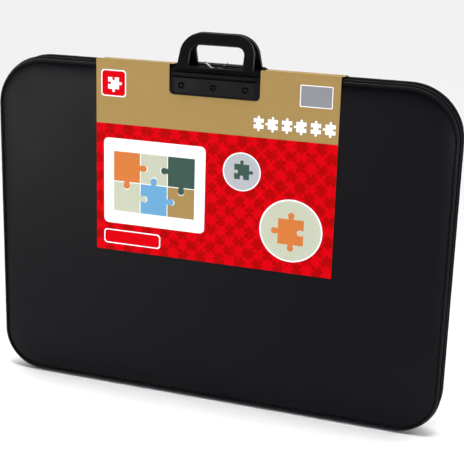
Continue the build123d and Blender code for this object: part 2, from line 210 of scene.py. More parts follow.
def stations(spacing, whole=False, low_end=None):
    """Points, outward directions and distances along the edge, clockwise from the lower left corner.

    The full loop has the bottom edge too. low_end starts and ends the line at that height on the sides.
    """
    low = FOOT_CORNER if low_end is None else low_end
    parts = [
        ("line", (-WIDTH / 2, low), (-WIDTH / 2, HEIGHT - CORNER), (-1, 0)),
        ("arc", (-RUN, HEIGHT - CORNER), 180, 90),
        ("line", (-RUN, HEIGHT), (RUN, HEIGHT), (0, 1)),
        ("arc", (RUN, HEIGHT - CORNER), 90, 0),
        ("line", (WIDTH / 2, HEIGHT - CORNER), (WIDTH / 2, low), (1, 0)),
    ]
    if low_end is None:
        parts.insert(0, ("arc", (-FOOT_RUN, FOOT_CORNER), 270, 180))
        parts.append(("arc", (FOOT_RUN, FOOT_CORNER), 0, -90))
    if whole:
        parts.append(("line", (FOOT_RUN, 0), (-FOOT_RUN, 0), (0, -1)))
    places, outward, along = [], [], []
    travelled = 0.0
    for kind, first, second, third in parts:
        if kind == "line":
            length = math.dist(first, second)
        else:
            radius = FOOT_CORNER if first[1] == FOOT_CORNER else CORNER
            length = radius * math.radians(abs(third - second))
        steps = max(2, round(length / spacing))
        for step in range(steps):
            share = step / steps
            if kind == "line":
                places.append([a + (b - a) * share for a, b in zip(first, second)])
                outward.append(third)
            else:
                angle = math.radians(second + (third - second) * share)
                outward.append((math.cos(angle), math.sin(angle)))
                places.append([first[i] + radius * outward[-1][i] for i in (0, 1)])
            along.append(travelled + length * share)
        travelled += length
    if not whole:
        places.append((FOOT_RUN, 0) if low_end is None else (WIDTH / 2, low))
        outward.append((0, -1) if low_end is None else (1, 0))
        along.append(travelled)
    return np.array(places), np.array(outward, float), np.array(along)


def at_depth(edge, side, depth, inset):
    """The outline's stations drawn in by an inset, at a depth from the mid-plane. side is -1 in front."""
    places, outward, _ = edge
    flat = places - outward * inset
    return np.stack([flat[:, 0], np.full(len(flat), side * depth), flat[:, 1]], axis=1)


loop_length = stations(5 * MM, whole=True)[2][-1]
print("outline:", round(WIDTH, 4), "by", round(HEIGHT, 4), "and about", round(loop_length, 3), "round")

# %% [markdown]
# ## Strips that follow the outline
# The side wall, the zip's tape and the binding are strips of one cross-section that run along the
# outline. A strip is lofted from its cross-section at each station, as a pipe bender would feed it. Its
# points can be moved by a relief, which stands for puckers, and its UV map holds metres along and across,
# so that a weave or stitch follows it round the corners.

# %% Loft a strip
def strip(name, edge, side, profile, material, closed_run, relief=None):
    """Loft a closed cross-section, given as (depth, inset) points in order, along the outline."""
    count, sides = len(edge[0]), len(profile)
    rings = np.stack([at_depth(edge, side, depth, inset) for depth, inset in profile], axis=1)
    if relief is not None:
        rings = relief(rings, edge, side)
    faces = skin(count, sides, closed_run) + ([] if closed_run else end_caps(count, sides))
    mesh = bpy.data.meshes.new(name)
    mesh.from_pydata([tuple(p) for p in rings.reshape(-1, 3)], [], faces)
    across = np.concatenate([[0], np.cumsum([math.dist(a, b) for a, b in zip(profile, profile[1:])])])
    along = edge[2]
    layer = mesh.uv_layers.new(name="UVMap")
    turn = along[-1] + math.dist(edge[0][-1], edge[0][0])
    for face in mesh.polygons:
        wraps = face.vertices[0] // sides == count - 1 and closed_run
        for loop in face.loop_indices:
            vertex = mesh.loops[loop].vertex_index
            u = along[vertex // sides]
            layer.data[loop].uv = (turn if wraps and vertex // sides == 0 else u, across[vertex % sides])
    close_mesh(mesh)
    return add_object(name, mesh, material)


def round_box(x0, y0, x1, y1, radius, steps=6):
    """A rectangle with round corners, from its lowest to its highest corner."""
    line = []
    for x, y, start in (
        (x1 - radius, y1 - radius, 0),
        (x0 + radius, y1 - radius, 90),
        (x0 + radius, y0 + radius, 180),
        (x1 - radius, y0 + radius, 270),
    ):
        for step in range(steps + 1):
            angle = math.radians(start + 90 * step / steps)
            line.append((x + radius * math.cos(angle), y + radius * math.sin(angle)))
    return line


def roughly(x, y, z, size, seed=0.0):
    """Smooth unevenness from -1 to 1, with bumps of about one size."""
    return noise.noise(Vector((x / size + seed, y / size, z / size)))


# %% [markdown]
# ## Effects that several materials share
# Leather grain, weave, felt fibres and a gentle unevenness turn up in many finishes, so each is a shader
# node group with named inputs. A group puts out only heights and values. The shader itself stays in the
# material, where its fixed numbers are set on its own sockets.

# %% Build the shader groups
GRAIN_WOBBLE = 0.6 * MM


def shader_group(name, inputs, outputs):
    """An empty shader node group with named sockets, and its input and output nodes."""
    group = bpy.data.node_groups.new(name, "ShaderNodeTree")
    for label, value in inputs.items():
        kind = "NodeSocketVector" if value is None else "NodeSocketFloat"
        socket = group.interface.new_socket(label, in_out="INPUT", socket_type=kind)
        if value is not None:
            socket.default_value = value
    for label in outputs:
        group.interface.new_socket(label, in_out="OUTPUT", socket_type="NodeSocketFloat")
    return group, group.nodes.new("NodeGroupInput"), group.nodes.new("NodeGroupOutput")


def wire(tree, kind, settings=(), **sockets):
    """Add a node, set its properties and either set or link each named input."""
    made = tree.nodes.new(kind)
    for label, value in dict(settings).items():
        setattr(made, label, value)
    for label, value in sockets.items():
        key = int(label[1:]) if label[0] == "_" and label[1:].isdigit() else label.replace("_", " ")
        if isinstance(value, bpy.types.NodeSocket):
            tree.links.new(value, made.inputs[key])
        else:
            made.inputs[key].default_value = value
    return made


def maths(tree, operation, first, second=0.0, third=0.0):
    """One Math node."""
    return wire(tree, "ShaderNodeMath", {"operation": operation}, _0=first, _1=second, _2=third).outputs[0]


def spread(tree, value, low, high, to_low=0.0, to_high=1.0):
    """A Map Range node."""
    made = wire(tree, "ShaderNodeMapRange", {}, Value=value)
    for label, number in (("From Min", low), ("From Max", high), ("To Min", to_low), ("To Max", to_high)):
        if isinstance(number, bpy.types.NodeSocket):
            tree.links.new(number, made.inputs[label])
        else:
            made.inputs[label].default_value = number
    return made.outputs["Result"]


def make_grain():
    """Pebbled leather grain: cells with creases between them, broken up by finer noise."""
    group, given, out = shader_group("leather_grain", {"Vector": None, "Cells": 900.0}, ("Height", "Crease"))
    vector, size = given.outputs["Vector"], given.outputs["Cells"]
    finer = maths(group, "MULTIPLY", size, 2.7)
    wobble = wire(group, "ShaderNodeTexNoise", {}, Vector=vector, Scale=finer, Detail=2.0)
    push, shift = {"operation": "MULTIPLY_ADD"}, (GRAIN_WOBBLE,) * 3
    bent = wire(group, "ShaderNodeVectorMath", push, _0=wobble.outputs["Color"], _1=shift, _2=vector)
    edges = {"feature": "DISTANCE_TO_EDGE"}
    cells = wire(group, "ShaderNodeTexVoronoi", edges, Vector=bent.outputs[0], Scale=size)
    pebble = spread(group, cells.outputs["Distance"], 0.0, 0.22)
    height = maths(group, "MULTIPLY_ADD", wobble.outputs["Fac"], 0.35, pebble)
    group.links.new(height, out.inputs["Height"])
    group.links.new(maths(group, "SUBTRACT", 1.0, pebble), out.inputs["Crease"])
    return group


def make_uneven():
    """A value that drifts between two limits over the surface."""
    inputs = {"Vector": None, "Scale": 12.0, "Low": 0.0, "High": 1.0}
    group, given, out = shader_group("uneven", inputs, ("Value",))
    vector, scale, low, high = (given.outputs[label] for label in inputs)
    cloud = wire(group, "ShaderNodeTexNoise", {}, Vector=vector, Scale=scale, Detail=4.0, Roughness=0.6)
    value = spread(group, cloud.outputs["Fac"], 0.3, 0.7, low, high)
    group.links.new(value, out.inputs["Value"])
    return group


def make_weave():
    """A plain weave from a UV map in metres: threads that pass over and under each other."""
    group, given, out = shader_group("weave", {"Vector": None, "Threads": 1500.0}, ("Height", "Over"))
    split = wire(group, "ShaderNodeSeparateXYZ", {}, Vector=given.outputs["Vector"])
    turned = []
    for axis in ("X", "Y"):
        scaled = maths(group, "MULTIPLY", split.outputs[axis], given.outputs["Threads"])
        turned.append(maths(group, "MULTIPLY", scaled, math.pi))
    warp = maths(group, "ABSOLUTE", maths(group, "SINE", turned[0]))
    weft = maths(group, "ABSOLUTE", maths(group, "SINE", turned[1]))
    sign = maths(group, "MULTIPLY", maths(group, "COSINE", turned[0]), maths(group, "COSINE", turned[1]))
    over = maths(group, "GREATER_THAN", sign, 0.0)
    first = maths(group, "MULTIPLY", warp, over)
    second = maths(group, "MULTIPLY", weft, maths(group, "SUBTRACT", 1.0, over))
    group.links.new(maths(group, "ADD", first, second), out.inputs["Height"])
    group.links.new(over, out.inputs["Over"])
    return group


def make_fibres():
    """Matted fibres: two stretched noises laid across each other."""
    group, given, out = shader_group("fibres", {"Vector": None, "Scale": 700.0}, ("Height", "Tone"))
    vector, scale = given.outputs["Vector"], given.outputs["Scale"]
    matted = {"Scale": scale, "Detail": 5.0, "Roughness": 0.7, "Distortion": 1.2}
    heights = []
    for stretch in ((1.0, 1.0, 0.25), (0.25, 1.0, 1.0)):
        laid = wire(group, "ShaderNodeVectorMath", {"operation": "MULTIPLY"}, _0=vector, _1=stretch)
        hair = wire(group, "ShaderNodeTexNoise", {}, Vector=laid.outputs[0], **matted)
        heights.append(hair.outputs["Fac"])
    height = maths(group, "MAXIMUM", heights[0], heights[1])
    group.links.new(height, out.inputs["Height"])
    group.links.new(spread(group, height, 0.45, 0.75), out.inputs["Tone"])
    return group


GRAIN, UNEVEN, WEAVE, FIBRES = make_grain(), make_uneven(), make_weave(), make_fibres()
print("shader groups:", [group.name for group in (GRAIN, UNEVEN, WEAVE, FIBRES)])

# %% [markdown]
# ## Finishes
# A finish is a colour with a little drift in it, a roughness that drifts too, and a bump from one of the
# groups. Colours are written as a screen shows them, from 0 to 255, and turned into the linear values
# that the shader needs.

# %% Material helpers
def linear(red, green, blue):
    """A screen colour as linear values."""
    def one(value):
        share = value / 255
        return share / 12.92 if share <= 0.04045 else ((share + 0.055) / 1.055) ** 2.4

    return (one(red), one(green), one(blue), 1.0)


def start_finish(name, **sockets):
    """A new material and its shader, with the shader's fixed sockets set."""
    material = bpy.data.materials.new(name)
    material.use_nodes = True
    shader = material.node_tree.nodes["Principled BSDF"]
    for label, value in sockets.items():
        shader.inputs[label.replace("_", " ")].default_value = value
    return material, shader


def place(material, group, vector, **values):
    """Put a shader group into a material, with its own values."""
    made = material.node_tree.nodes.new("ShaderNodeGroup")
    made.node_tree = group
    material.node_tree.links.new(vector, made.inputs["Vector"])
    for label, value in values.items():
        made.inputs[label].default_value = value
    return made


def coordinates(material, kind="Object"):
    """The piece's own coordinates, or its UV map."""
    return material.node_tree.nodes.new("ShaderNodeTexCoord").outputs[kind]


def tint(material, shader, value, dark, light):
    """Mix two colours by a value and feed the base colour."""
    mix = wire(material.node_tree, "ShaderNodeMix", {"data_type": "RGBA"}, _0=value, _6=dark, _7=light)
    material.node_tree.links.new(mix.outputs[2], shader.inputs["Base Color"])


def roughen(material, shader, vector, scale, low, high):
    """Let the roughness drift between two limits."""
    cloud = place(material, UNEVEN, vector, Scale=scale, Low=low, High=high)
    material.node_tree.links.new(cloud.outputs["Value"], shader.inputs["Roughness"])


def emboss(material, shader, height, strength, distance):
    """Feed a height into the normal."""
    bump = wire(material.node_tree, "ShaderNodeBump", {}, Height=height, Strength=strength, Distance=distance)
    material.node_tree.links.new(bump.outputs["Normal"], shader.inputs["Normal"])


# %% [markdown]
# The covering is black leatherette: vinyl on cloth, embossed with a very fine pebble. Its shine comes
# from the shader's reflection of the lamps, and the grain breaks it up. The piping is the same vinyl
# pulled tight over a cord, so its grain is flatter and it shines more. The gathered side wall is duller.

# %% Leatherette
def leatherette(name, cells, rough, depth, shine):
    """Vinyl with an embossed grain, so many cells to the metre and so deep."""
    material, shader = start_finish(name, Specular_IOR_Level=shine)
    vector = coordinates(material)
    grain = place(material, GRAIN, vector, Cells=cells)
    tint(material, shader, grain.outputs["Crease"], linear(11, 8, 12), linear(6, 4, 7))
    roughen(material, shader, vector, 14.0, rough - 0.05, rough + 0.06)
    emboss(material, shader, grain.outputs["Height"], 0.5, depth)
    return material


COVER_VINYL = leatherette("leatherette", 850.0, 0.31, 0.00012, 0.075)
WALL_VINYL = leatherette("wall_vinyl", 850.0, 0.60, 0.00012, 0.03)
PIPING_VINYL = leatherette("piping_vinyl", 1100.0, 0.2, 0.00007, 0.1)

# %% [markdown]
# The handle is moulded in black polypropylene from a tool with a spark-eroded texture, which is a much
# finer and sharper grain than the vinyl's. The rivets' caps are painted metal, so they are glossier.

# %% Moulded plastic and painted metal
def moulded(name, screen, rough):
    """Plastic from a textured tool."""
    material, shader = start_finish(name, Specular_IOR_Level=0.07)
    vector = coordinates(material)
    speckle = wire(material.node_tree, "ShaderNodeTexNoise", {}, Vector=vector, Scale=2600.0, Detail=3.0)
    mottle = place(material, UNEVEN, vector, Scale=30.0)
    tint(material, shader, mottle.outputs["Value"], linear(*screen), linear(*[c + 5 for c in screen]))
    roughen(material, shader, vector, 40.0, rough - 0.04, rough + 0.07)
    emboss(material, shader, speckle.outputs["Fac"], 0.35, 0.00006)
    return material


HANDLE_PLASTIC = moulded("handle_plastic", (11, 10, 12), 0.40)
RIVET_PAINT = moulded("rivet_paint", (8, 8, 9), 0.20)


def plated(name, screen, rough):
    """Plated metal with fine wear, which is a little lighter."""
    material, shader = start_finish(name, Metallic=1.0)
    vector = coordinates(material)
    wear = place(material, UNEVEN, vector, Scale=420.0)
    worn = [min(255, c + 26) for c in screen]
    tint(material, shader, wear.outputs["Value"], linear(*screen), linear(*worn))
    roughen(material, shader, vector, 600.0, rough, rough + 0.16)
    return material


NICKEL = plated("zip_nickel", (112, 109, 105), 0.26)
STRIP_STEEL = plated("strip_steel", (140, 142, 145), 0.35)

# %% [markdown]
# Inside, the puzzle lies on sage-green felt. The boards are grey chipboard, the lining and the zip's
# tape are woven polyester, and the foam under the covering is open-celled.

# %% Cloth, felt, board and foam
def cloth(name, screen, threads):
    """A fine plain weave that follows the piece's UV map."""
    material, shader = start_finish(name, Specular_IOR_Level=0.25, Sheen_Weight=0.15, Sheen_Roughness=0.5)
    weave = place(material, WEAVE, coordinates(material, "UV"), Threads=threads)
    light = [min(255, round(c * 1.25) + 4) for c in screen]
    tint(material, shader, weave.outputs["Height"], linear(*screen), linear(*light))
    roughen(material, shader, coordinates(material), 60.0, 0.72, 0.86)
    emboss(material, shader, weave.outputs["Height"], 0.6, 0.00012)
    return material


def felt(name, screen, darker):
    """Matted wool fibres."""
    material, shader = start_finish(name, Specular_IOR_Level=0.2, Sheen_Weight=0.25, Sheen_Roughness=0.6)
    fibres = place(material, FIBRES, coordinates(material), Scale=620.0)
    tint(material, shader, fibres.outputs["Tone"], linear(*darker), linear(*screen))
    roughen(material, shader, coordinates(material), 25.0, 0.88, 0.97)
    emboss(material, shader, fibres.outputs["Height"], 0.7, 0.0003)
    return material


def pressed(name, screen, darker, cells):
    """Chipboard or foam: coarse grains of two tones."""
    material, shader = start_finish(name, Specular_IOR_Level=0.2)
    fibres = place(material, FIBRES, coordinates(material), Scale=cells)
    tint(material, shader, fibres.outputs["Tone"], linear(*darker), linear(*screen))
    roughen(material, shader, coordinates(material), 18.0, 0.8, 0.95)
    emboss(material, shader, fibres.outputs["Height"], 0.5, 0.0002)
    return material


SAGE_FELT = felt("sage_felt", (196, 198, 176), (176, 178, 155))
LINING_CLOTH = cloth("lining_cloth", (24, 24, 26), 1300.0)
ZIP_CLOTH = cloth("zip_cloth", (20, 20, 22), 1600.0)
BINDING_CLOTH = cloth("binding_cloth", (22, 22, 24), 1100.0)
CHIPBOARD = pressed("chipboard", (136, 128, 116), (112, 104, 94), 260.0)
FOAM = pressed("foam", (66, 66, 70), (46, 46, 50), 900.0)
THREAD = cloth("thread", (16, 16, 18), 2400.0)
ZIP_NYLON = moulded("zip_nylon", (18, 18, 20), 0.3)
print("materials so far:", len(bpy.data.materials))

# %% [markdown]
# ## Padded panels
# The face of each half is a sheet of vinyl pulled over foam and sewn down in a narrow groove beside the
# piping. It could be a subdivided box, but then its edge would not follow the crown of the foam. Here it
# is lofted as rings: out of the groove, up the crown, in to the middle and back along the underside. The
# crown is steep at the groove and then ever flatter. The seam puckers it, and the face has the slow waves
# of a sheet glued over foam. All waves sink into the foam, so the sleeve in front stays clear.

# %% Shape of the padding
PANEL_LOW, PANEL_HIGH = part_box("front_cover")
FACE_DEPTH = -PANEL_LOW.y
COVER_FLOOR = -PANEL_HIGH.y
PANEL_INSET = PANEL_LOW.z
MARGIN_WIDTH = 1.0 * MM
CROWN_INSET = PANEL_INSET + MARGIN_WIDTH
CROWN_WIDTH = 38.0 * MM
CROWN_RISE = 4.0 * MM
CROWN_POWER, CROWN_EDGE, CROWN_SPACING = 2.6, 0.8, 1.8
MARGIN_FACE = FACE_DEPTH - CROWN_RISE
VINYL = 1.2 * MM
GROOVE = 0.7 * MM
GROOVE_ROUND = 0.3 * MM
CENTRE_ROWS = 34
MIDDLE_STEPS = 6
CROWN_STEPS, INSIDE_STEPS, FOAM_STEPS = 16, 5, 6
INSIDE_DROP = 0.7 * MM
FOAM_GAP, FOAM_LIFT, FOAM_PLAY = 0.4 * MM, 0.1 * MM, 1.2 * MM
SLOW_SIZE, PUCKER_SIZE, FINE_SIZE = 110 * MM, 21 * MM, 7.5 * MM
SLOW_DEPTH, PUCKER_DEPTH, FINE_DEPTH = 0.30 * MM, 0.42 * MM, 0.16 * MM


def crown_line(inset, low, rise, steps):
    """(depth, inset) points from the padding's edge up to its full height."""
    line = []
    for step in range(steps + 1):
        inward = (step / steps) ** CROWN_SPACING
        height = (1 - (1 - inward) ** CROWN_POWER) ** CROWN_EDGE
        line.append((low + rise * height, inset + CROWN_WIDTH * inward))
    return line


def to_the_middle(ring, rows):
    """Rings from one ring in to a line along the middle of the panel, whose points both sides share."""
    half = (WIDTH - HEIGHT) / 2
    step = half / MIDDLE_STEPS
    target = ring.copy()
    target[:, 0] = np.round(np.clip(ring[:, 0], -half, half) / step) * step
    target[:, 2] = HEIGHT / 2
    return [ring + (target - ring) * (row / rows) for row in range(1, rows + 1)]


def loft_rings(name, rings, material):
    """Join closed rings of as many points each into one closed mesh."""
    faces = skin(len(rings), len(rings[0]))
    return add_object(name, mesh_from(name, np.concatenate(rings), faces, join=2e-5), material)


def soften_face(rings, side, edge):
    """Sink each point of the face a little: puckers beside the seam and slow waves further in."""
    for ring in rings:
        for point, where in zip(ring, edge[2]):
            slow = 0.5 + 0.5 * roughly(*point, SLOW_SIZE, 3.7 * side)
            near_seam = min(1.0, max(0.0, (FACE_DEPTH - abs(point[1])) / CROWN_RISE))
            pucker = 0.5 + 0.5 * noise.noise(Vector((where / PUCKER_SIZE, 5.0 * side, 0.3)))
            fine = 0.5 + 0.5 * noise.noise(Vector((where / FINE_SIZE, 9.0, 2.0 * side)))
            sink = SLOW_DEPTH * slow + near_seam * (PUCKER_DEPTH * pucker + FINE_DEPTH * fine)
            point[1] -= side * sink


def padded_panel(half, side):
    """The vinyl face of one half."""
    edge = stations(6 * MM, whole=True)
    crown = crown_line(CROWN_INSET, MARGIN_FACE, CROWN_RISE, CROWN_STEPS)
    groove = MARGIN_FACE - GROOVE
    margin = [(groove - GROOVE_ROUND, PANEL_INSET), (groove, PANEL_INSET + GROOVE_ROUND)]
    margin += [(groove, CROWN_INSET)]
    outer = [at_depth(edge, side, depth, inset) for depth, inset in margin + crown[1:]]
    outer += to_the_middle(outer[-1], CENTRE_ROWS)
    soften_face(outer[len(margin):], side, edge)
    inside = [(COVER_FLOOR, PANEL_INSET), (COVER_FLOOR, CROWN_INSET + VINYL)]
    inside_rise = FACE_DEPTH - VINYL - COVER_FLOOR
    inside += crown_line(CROWN_INSET + VINYL, COVER_FLOOR, inside_rise, INSIDE_STEPS)[1:]
    under = [at_depth(edge, side, depth, inset) for depth, inset in inside]
    under += to_the_middle(under[-1], 3)
    for ring in under[3:]:
        ring[:, 1] -= side * INSIDE_DROP
    return loft_rings(half + "_cover_vinyl", outer[::-1] + under, COVER_VINYL)


def foam_pad(half, side):
    """The sheet of foam under the vinyl."""
    edge = stations(14 * MM, whole=True)
    base, start = COVER_FLOOR + FOAM_LIFT, CROWN_INSET + VINYL + FOAM_GAP
    lines = crown_line(start, base, FACE_DEPTH - VINYL - COVER_FLOOR - FOAM_PLAY, FOAM_STEPS)
    rings = [at_depth(edge, side, depth, inset) for depth, inset in lines]
    rings += to_the_middle(rings[-1], 4)
    under = at_depth(edge, side, base, start)
    return loft_rings(half + "_foam_pad", rings[::-1] + [under] + to_the_middle(under, 4), FOAM)


# %% Make the padded panels
SIDES = {"front": -1, "back": 1}
for half, side in SIDES.items():
    panel = padded_panel(half, side)
    stand_in(panel, half, half + "_cover")
    pad = foam_pad(half, side)
    stand_in(pad, half, half + "_foam")

# %% [markdown]
# ## Side walls
# Between piping and zip runs a wall of the same vinyl, folded in along both seams so that it bulges. The
# stitches gather it, so short puckers cross it all the way round, deeper at the corners where the outer
# edge has more cloth than the seam. The puckers are real relief, because they catch the light from above.

# %% Make the side walls
GUSSET_LOW, GUSSET_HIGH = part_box("front_gusset")
GUSSET_SEAM = -GUSSET_LOW.y
GUSSET_EDGE = -GUSSET_HIGH.y
CREST_DEPTH = 13.5 * MM
SEAM_INSET = 4.3 * MM
EDGE_INSET = 3.6 * MM
BULGE_SHARE = 0.86
FLANGE_SHARE = 0.78
WALL_STEPS = 12
WALL = 1.4 * MM
PUCKER = 0.55 * MM
FOLD_SIZE, BROAD_SIZE = 9.5 * MM, 34 * MM
CORNER_GATHER = 1.5


def bulge(share_from, share_to, steps, lift=0.0):
    """(depth, inset) points over the wall's bulge, from the zip's edge (-1) to the piping's seam (1)."""
    line = []
    for step in range(steps + 1):
        share = share_from + (share_to - share_from) * step / steps
        reach = GUSSET_SEAM - CREST_DEPTH if share > 0 else CREST_DEPTH - GUSSET_EDGE
        drop = SEAM_INSET if share > 0 else EDGE_INSET
        curve = 1 - math.sqrt(max(0.0, 1 - (BULGE_SHARE * share) ** 2))
        scale = 1 - math.sqrt(1 - BULGE_SHARE**2)
        line.append((CREST_DEPTH + reach * share, lift + (drop * curve / scale)))
    return line


def gusset_profile():
    """The closed cross-section of the wall, with its flange turned in under the panel."""
    flange = [(GUSSET_SEAM, PANEL_INSET), (GUSSET_SEAM - WALL, PANEL_INSET)]
    return bulge(-1, 1, WALL_STEPS) + flange + bulge(FLANGE_SHARE, -1, 8, lift=WALL)


def puckers(rings, edge, side):
    """Press short folds into the wall, across its length."""
    for ring, outward, where in zip(rings, edge[1], edge[2]):
        corner = 1.0 if abs(outward[0]) in (0.0, 1.0) else CORNER_GATHER
        for point in ring:
            across = (abs(point[1]) - CREST_DEPTH) / (GUSSET_SEAM - CREST_DEPTH)
            fold = noise.noise(Vector((where / FOLD_SIZE, across * 1.3, 4.0 * side)))
            broad = noise.noise(Vector((where / BROAD_SIZE, across * 0.6, 8.0 + side)))
            fade = max(0.0, 1 - 0.55 * abs(across))
            press = PUCKER * corner * fade * (0.5 + 0.36 * fold + 0.3 * broad)
            point[0] -= outward[0] * press
            point[2] -= outward[1] * press
    return rings


for half, side in SIDES.items():
    wall = strip(half + "_side_wall", stations(3 * MM), side, gusset_profile(), WALL_VINYL, False, puckers)
    stand_in(wall, half, half + "_gusset")

# %% [markdown]
# ## Geometry Nodes for what follows a path
# Piping is a round bead of one size along a line, and teeth and stitches are one shape repeated along a
# line. Geometry Nodes make both from the same kind of path, a row of points that knows which way is
# outwards. One tree draws a tube, the other sets copies of a shape at a pitch. Both end in Realize
# Instances and Set Material, and the result is read back as a plain mesh.

# %% Build the node trees
def geometry_tree(name, inputs):
    """A Geometry Nodes tree with named inputs. It returns the tree, its end nodes and socket names."""
    tree = bpy.data.node_groups.new(name, "GeometryNodeTree")
    tree.interface.new_socket("Geometry", in_out="INPUT", socket_type="NodeSocketGeometry")
    tree.interface.new_socket("Geometry", in_out="OUTPUT", socket_type="NodeSocketGeometry")
    identifiers = {}
    for label, (kind, value) in inputs.items():
        socket = tree.interface.new_socket(label, in_out="INPUT", socket_type="NodeSocket" + kind)
        if value is not None:
            socket.default_value = value
        identifiers[label] = socket.identifier
    return tree, tree.nodes.new("NodeGroupInput"), tree.nodes.new("NodeGroupOutput"), identifiers


def end_tree(tree, given, out, geometry):
    """Realize the instances, set the material and close the tree."""
    whole = wire(tree, "GeometryNodeRealizeInstances", {}, Geometry=geometry).outputs["Geometry"]
    finish = given.outputs["Material"]
    painted = wire(tree, "GeometryNodeSetMaterial", {}, Geometry=whole, Material=finish)
    tree.links.new(painted.outputs["Geometry"], out.inputs["Geometry"])


def even_curve(tree, given, spacing):
    """The path as a curve, with its points at the spacing that the named input gives."""
    line = wire(tree, "GeometryNodeMeshToCurve", {}, Mesh=given.outputs["Geometry"]).outputs["Curve"]
    by_length = {"mode": "LENGTH"}
    even = wire(tree, "GeometryNodeResampleCurve", by_length, Curve=line, Length=given.outputs[spacing])
    return even.outputs["Curve"]


def make_tube_tree():
    """A round tube along a path, a little uneven in thickness."""
    inputs = {
        "Radius": ("Float", 0.002),
        "Spacing": ("Float", 0.005),
        "Unevenness": ("Float", 0.04),
        "Seed": ("Int", 1),
        "Material": ("Material", None),
    }
    tree, given, out, names = geometry_tree("tube_along_path", inputs)
    even = even_curve(tree, given, "Spacing")
    chance = wire(tree, "FunctionNodeRandomValue", {"data_type": "FLOAT"}, Seed=given.outputs["Seed"])
    spare = maths(tree, "MULTIPLY", chance.outputs[1], given.outputs["Unevenness"])
    size = maths(tree, "MULTIPLY", given.outputs["Radius"], maths(tree, "SUBTRACT", 1.0, spare))
    sized = wire(tree, "GeometryNodeSetCurveRadius", {}, Curve=even, Radius=size).outputs["Curve"]
    circle = wire(tree, "GeometryNodeCurvePrimitiveCircle", {}, Resolution=14, Radius=1.0).outputs["Curve"]
    width = wire(tree, "GeometryNodeInputRadius").outputs["Radius"]
    profile = {"Profile_Curve": circle, "Scale": width, "Fill_Caps": True}
    tube = wire(tree, "GeometryNodeCurveToMesh", {}, Curve=sized, **profile)
    end_tree(tree, given, out, tube.outputs["Mesh"])
    return tree, names


def make_row_tree():
    """Copies of one shape along a path: their X along it, their Z outwards."""
    inputs = {
        "Shape": ("Object", None),
        "Pitch": ("Float", 0.0026),
        "Turn": ("Float", 0.0),
        "Seed": ("Int", 1),
        "Material": ("Material", None),
    }
    tree, given, out, names = geometry_tree("row_along_path", inputs)
    even = even_curve(tree, given, "Pitch")
    tangent = wire(tree, "GeometryNodeInputTangent").outputs["Tangent"]
    outward = wire(tree, "GeometryNodeInputNamedAttribute", {"data_type": "FLOAT_VECTOR"}, Name="outward")
    align = "FunctionNodeAlignRotationToVector"
    first = wire(tree, align, {"axis": "X"}, Vector=tangent).outputs["Rotation"]
    sideways = {"axis": "Z", "pivot_axis": "X"}
    second = wire(tree, align, sideways, Rotation=first, Vector=outward.outputs["Attribute"])
    chance = wire(tree, "FunctionNodeRandomValue", {"data_type": "FLOAT"}, Seed=given.outputs["Seed"])
    swing = maths(tree, "MULTIPLY", maths(tree, "SUBTRACT", chance.outputs[1], 0.5), given.outputs["Turn"])
    euler = wire(tree, "ShaderNodeCombineXYZ", {}, Y=swing)
    nudge = wire(tree, "FunctionNodeEulerToRotation", {}, Euler=euler.outputs["Vector"])
    turned = wire(
        tree,
        "FunctionNodeRotateRotation",
        {"rotation_space": "LOCAL"},
        Rotation=second.outputs["Rotation"],
        Rotate_By=nudge.outputs["Rotation"],
    )
    held = wire(
        tree,
        "GeometryNodeStoreNamedAttribute",
        {"data_type": "QUATERNION", "domain": "POINT"},
        Geometry=even,
        Name="stand",
        Value=turned.outputs["Rotation"],
    )
    at_points = {"mode": "EVALUATED"}
    points = wire(tree, "GeometryNodeCurveToPoints", at_points, Curve=held.outputs["Geometry"])
    stand = wire(tree, "GeometryNodeInputNamedAttribute", {"data_type": "QUATERNION"}, Name="stand")
    shape = wire(tree, "GeometryNodeObjectInfo", {}, Object=given.outputs["Shape"])
    rows = wire(
        tree,
        "GeometryNodeInstanceOnPoints",
        {},
        Points=points.outputs["Points"],
        Instance=shape.outputs["Geometry"],
        Rotation=stand.outputs["Attribute"],
    )
    end_tree(tree, given, out, rows.outputs["Instances"])
    return tree, names


TUBE, TUBE_NAMES = make_tube_tree()
ROW, ROW_NAMES = make_row_tree()


def path_object(name, edge, side, depth, inset, closed_run):
    """A row of points along the outline that knows which way is outwards. The back's runs the other way."""
    onwards = slice(None, None, -side)
    points = at_depth(edge, side, depth, inset)[onwards]
    count = len(points)
    links = [(i, (i + 1) % count) for i in range(count if closed_run else count - 1)]
    mesh = bpy.data.meshes.new(name)
    mesh.from_pydata([tuple(p) for p in points], links, [])
    outward = mesh.attributes.new("outward", "FLOAT_VECTOR", "POINT")
    for item, (x, z) in zip(outward.data, edge[1][onwards]):
        item.vector = (x, 0, z)
    return add_object(name, mesh)


def grown(path, tree, names, **values):
    """Run a tree on a path and keep the plain mesh that comes out."""
    modifier = path.modifiers.new(tree.name, "NODES")
    modifier.node_group = tree
    for label, value in values.items():
        modifier[names[label]] = value
    made = finished(path)
    close_mesh(made.data, join=1e-7)
    return made


# %% [markdown]
# ## Piping
# The bead is a cord inside folded vinyl. Along the bottom edge it is the line that each half folds about:
# its middle lies on the fold's axis there, and stays in place as the case opens.

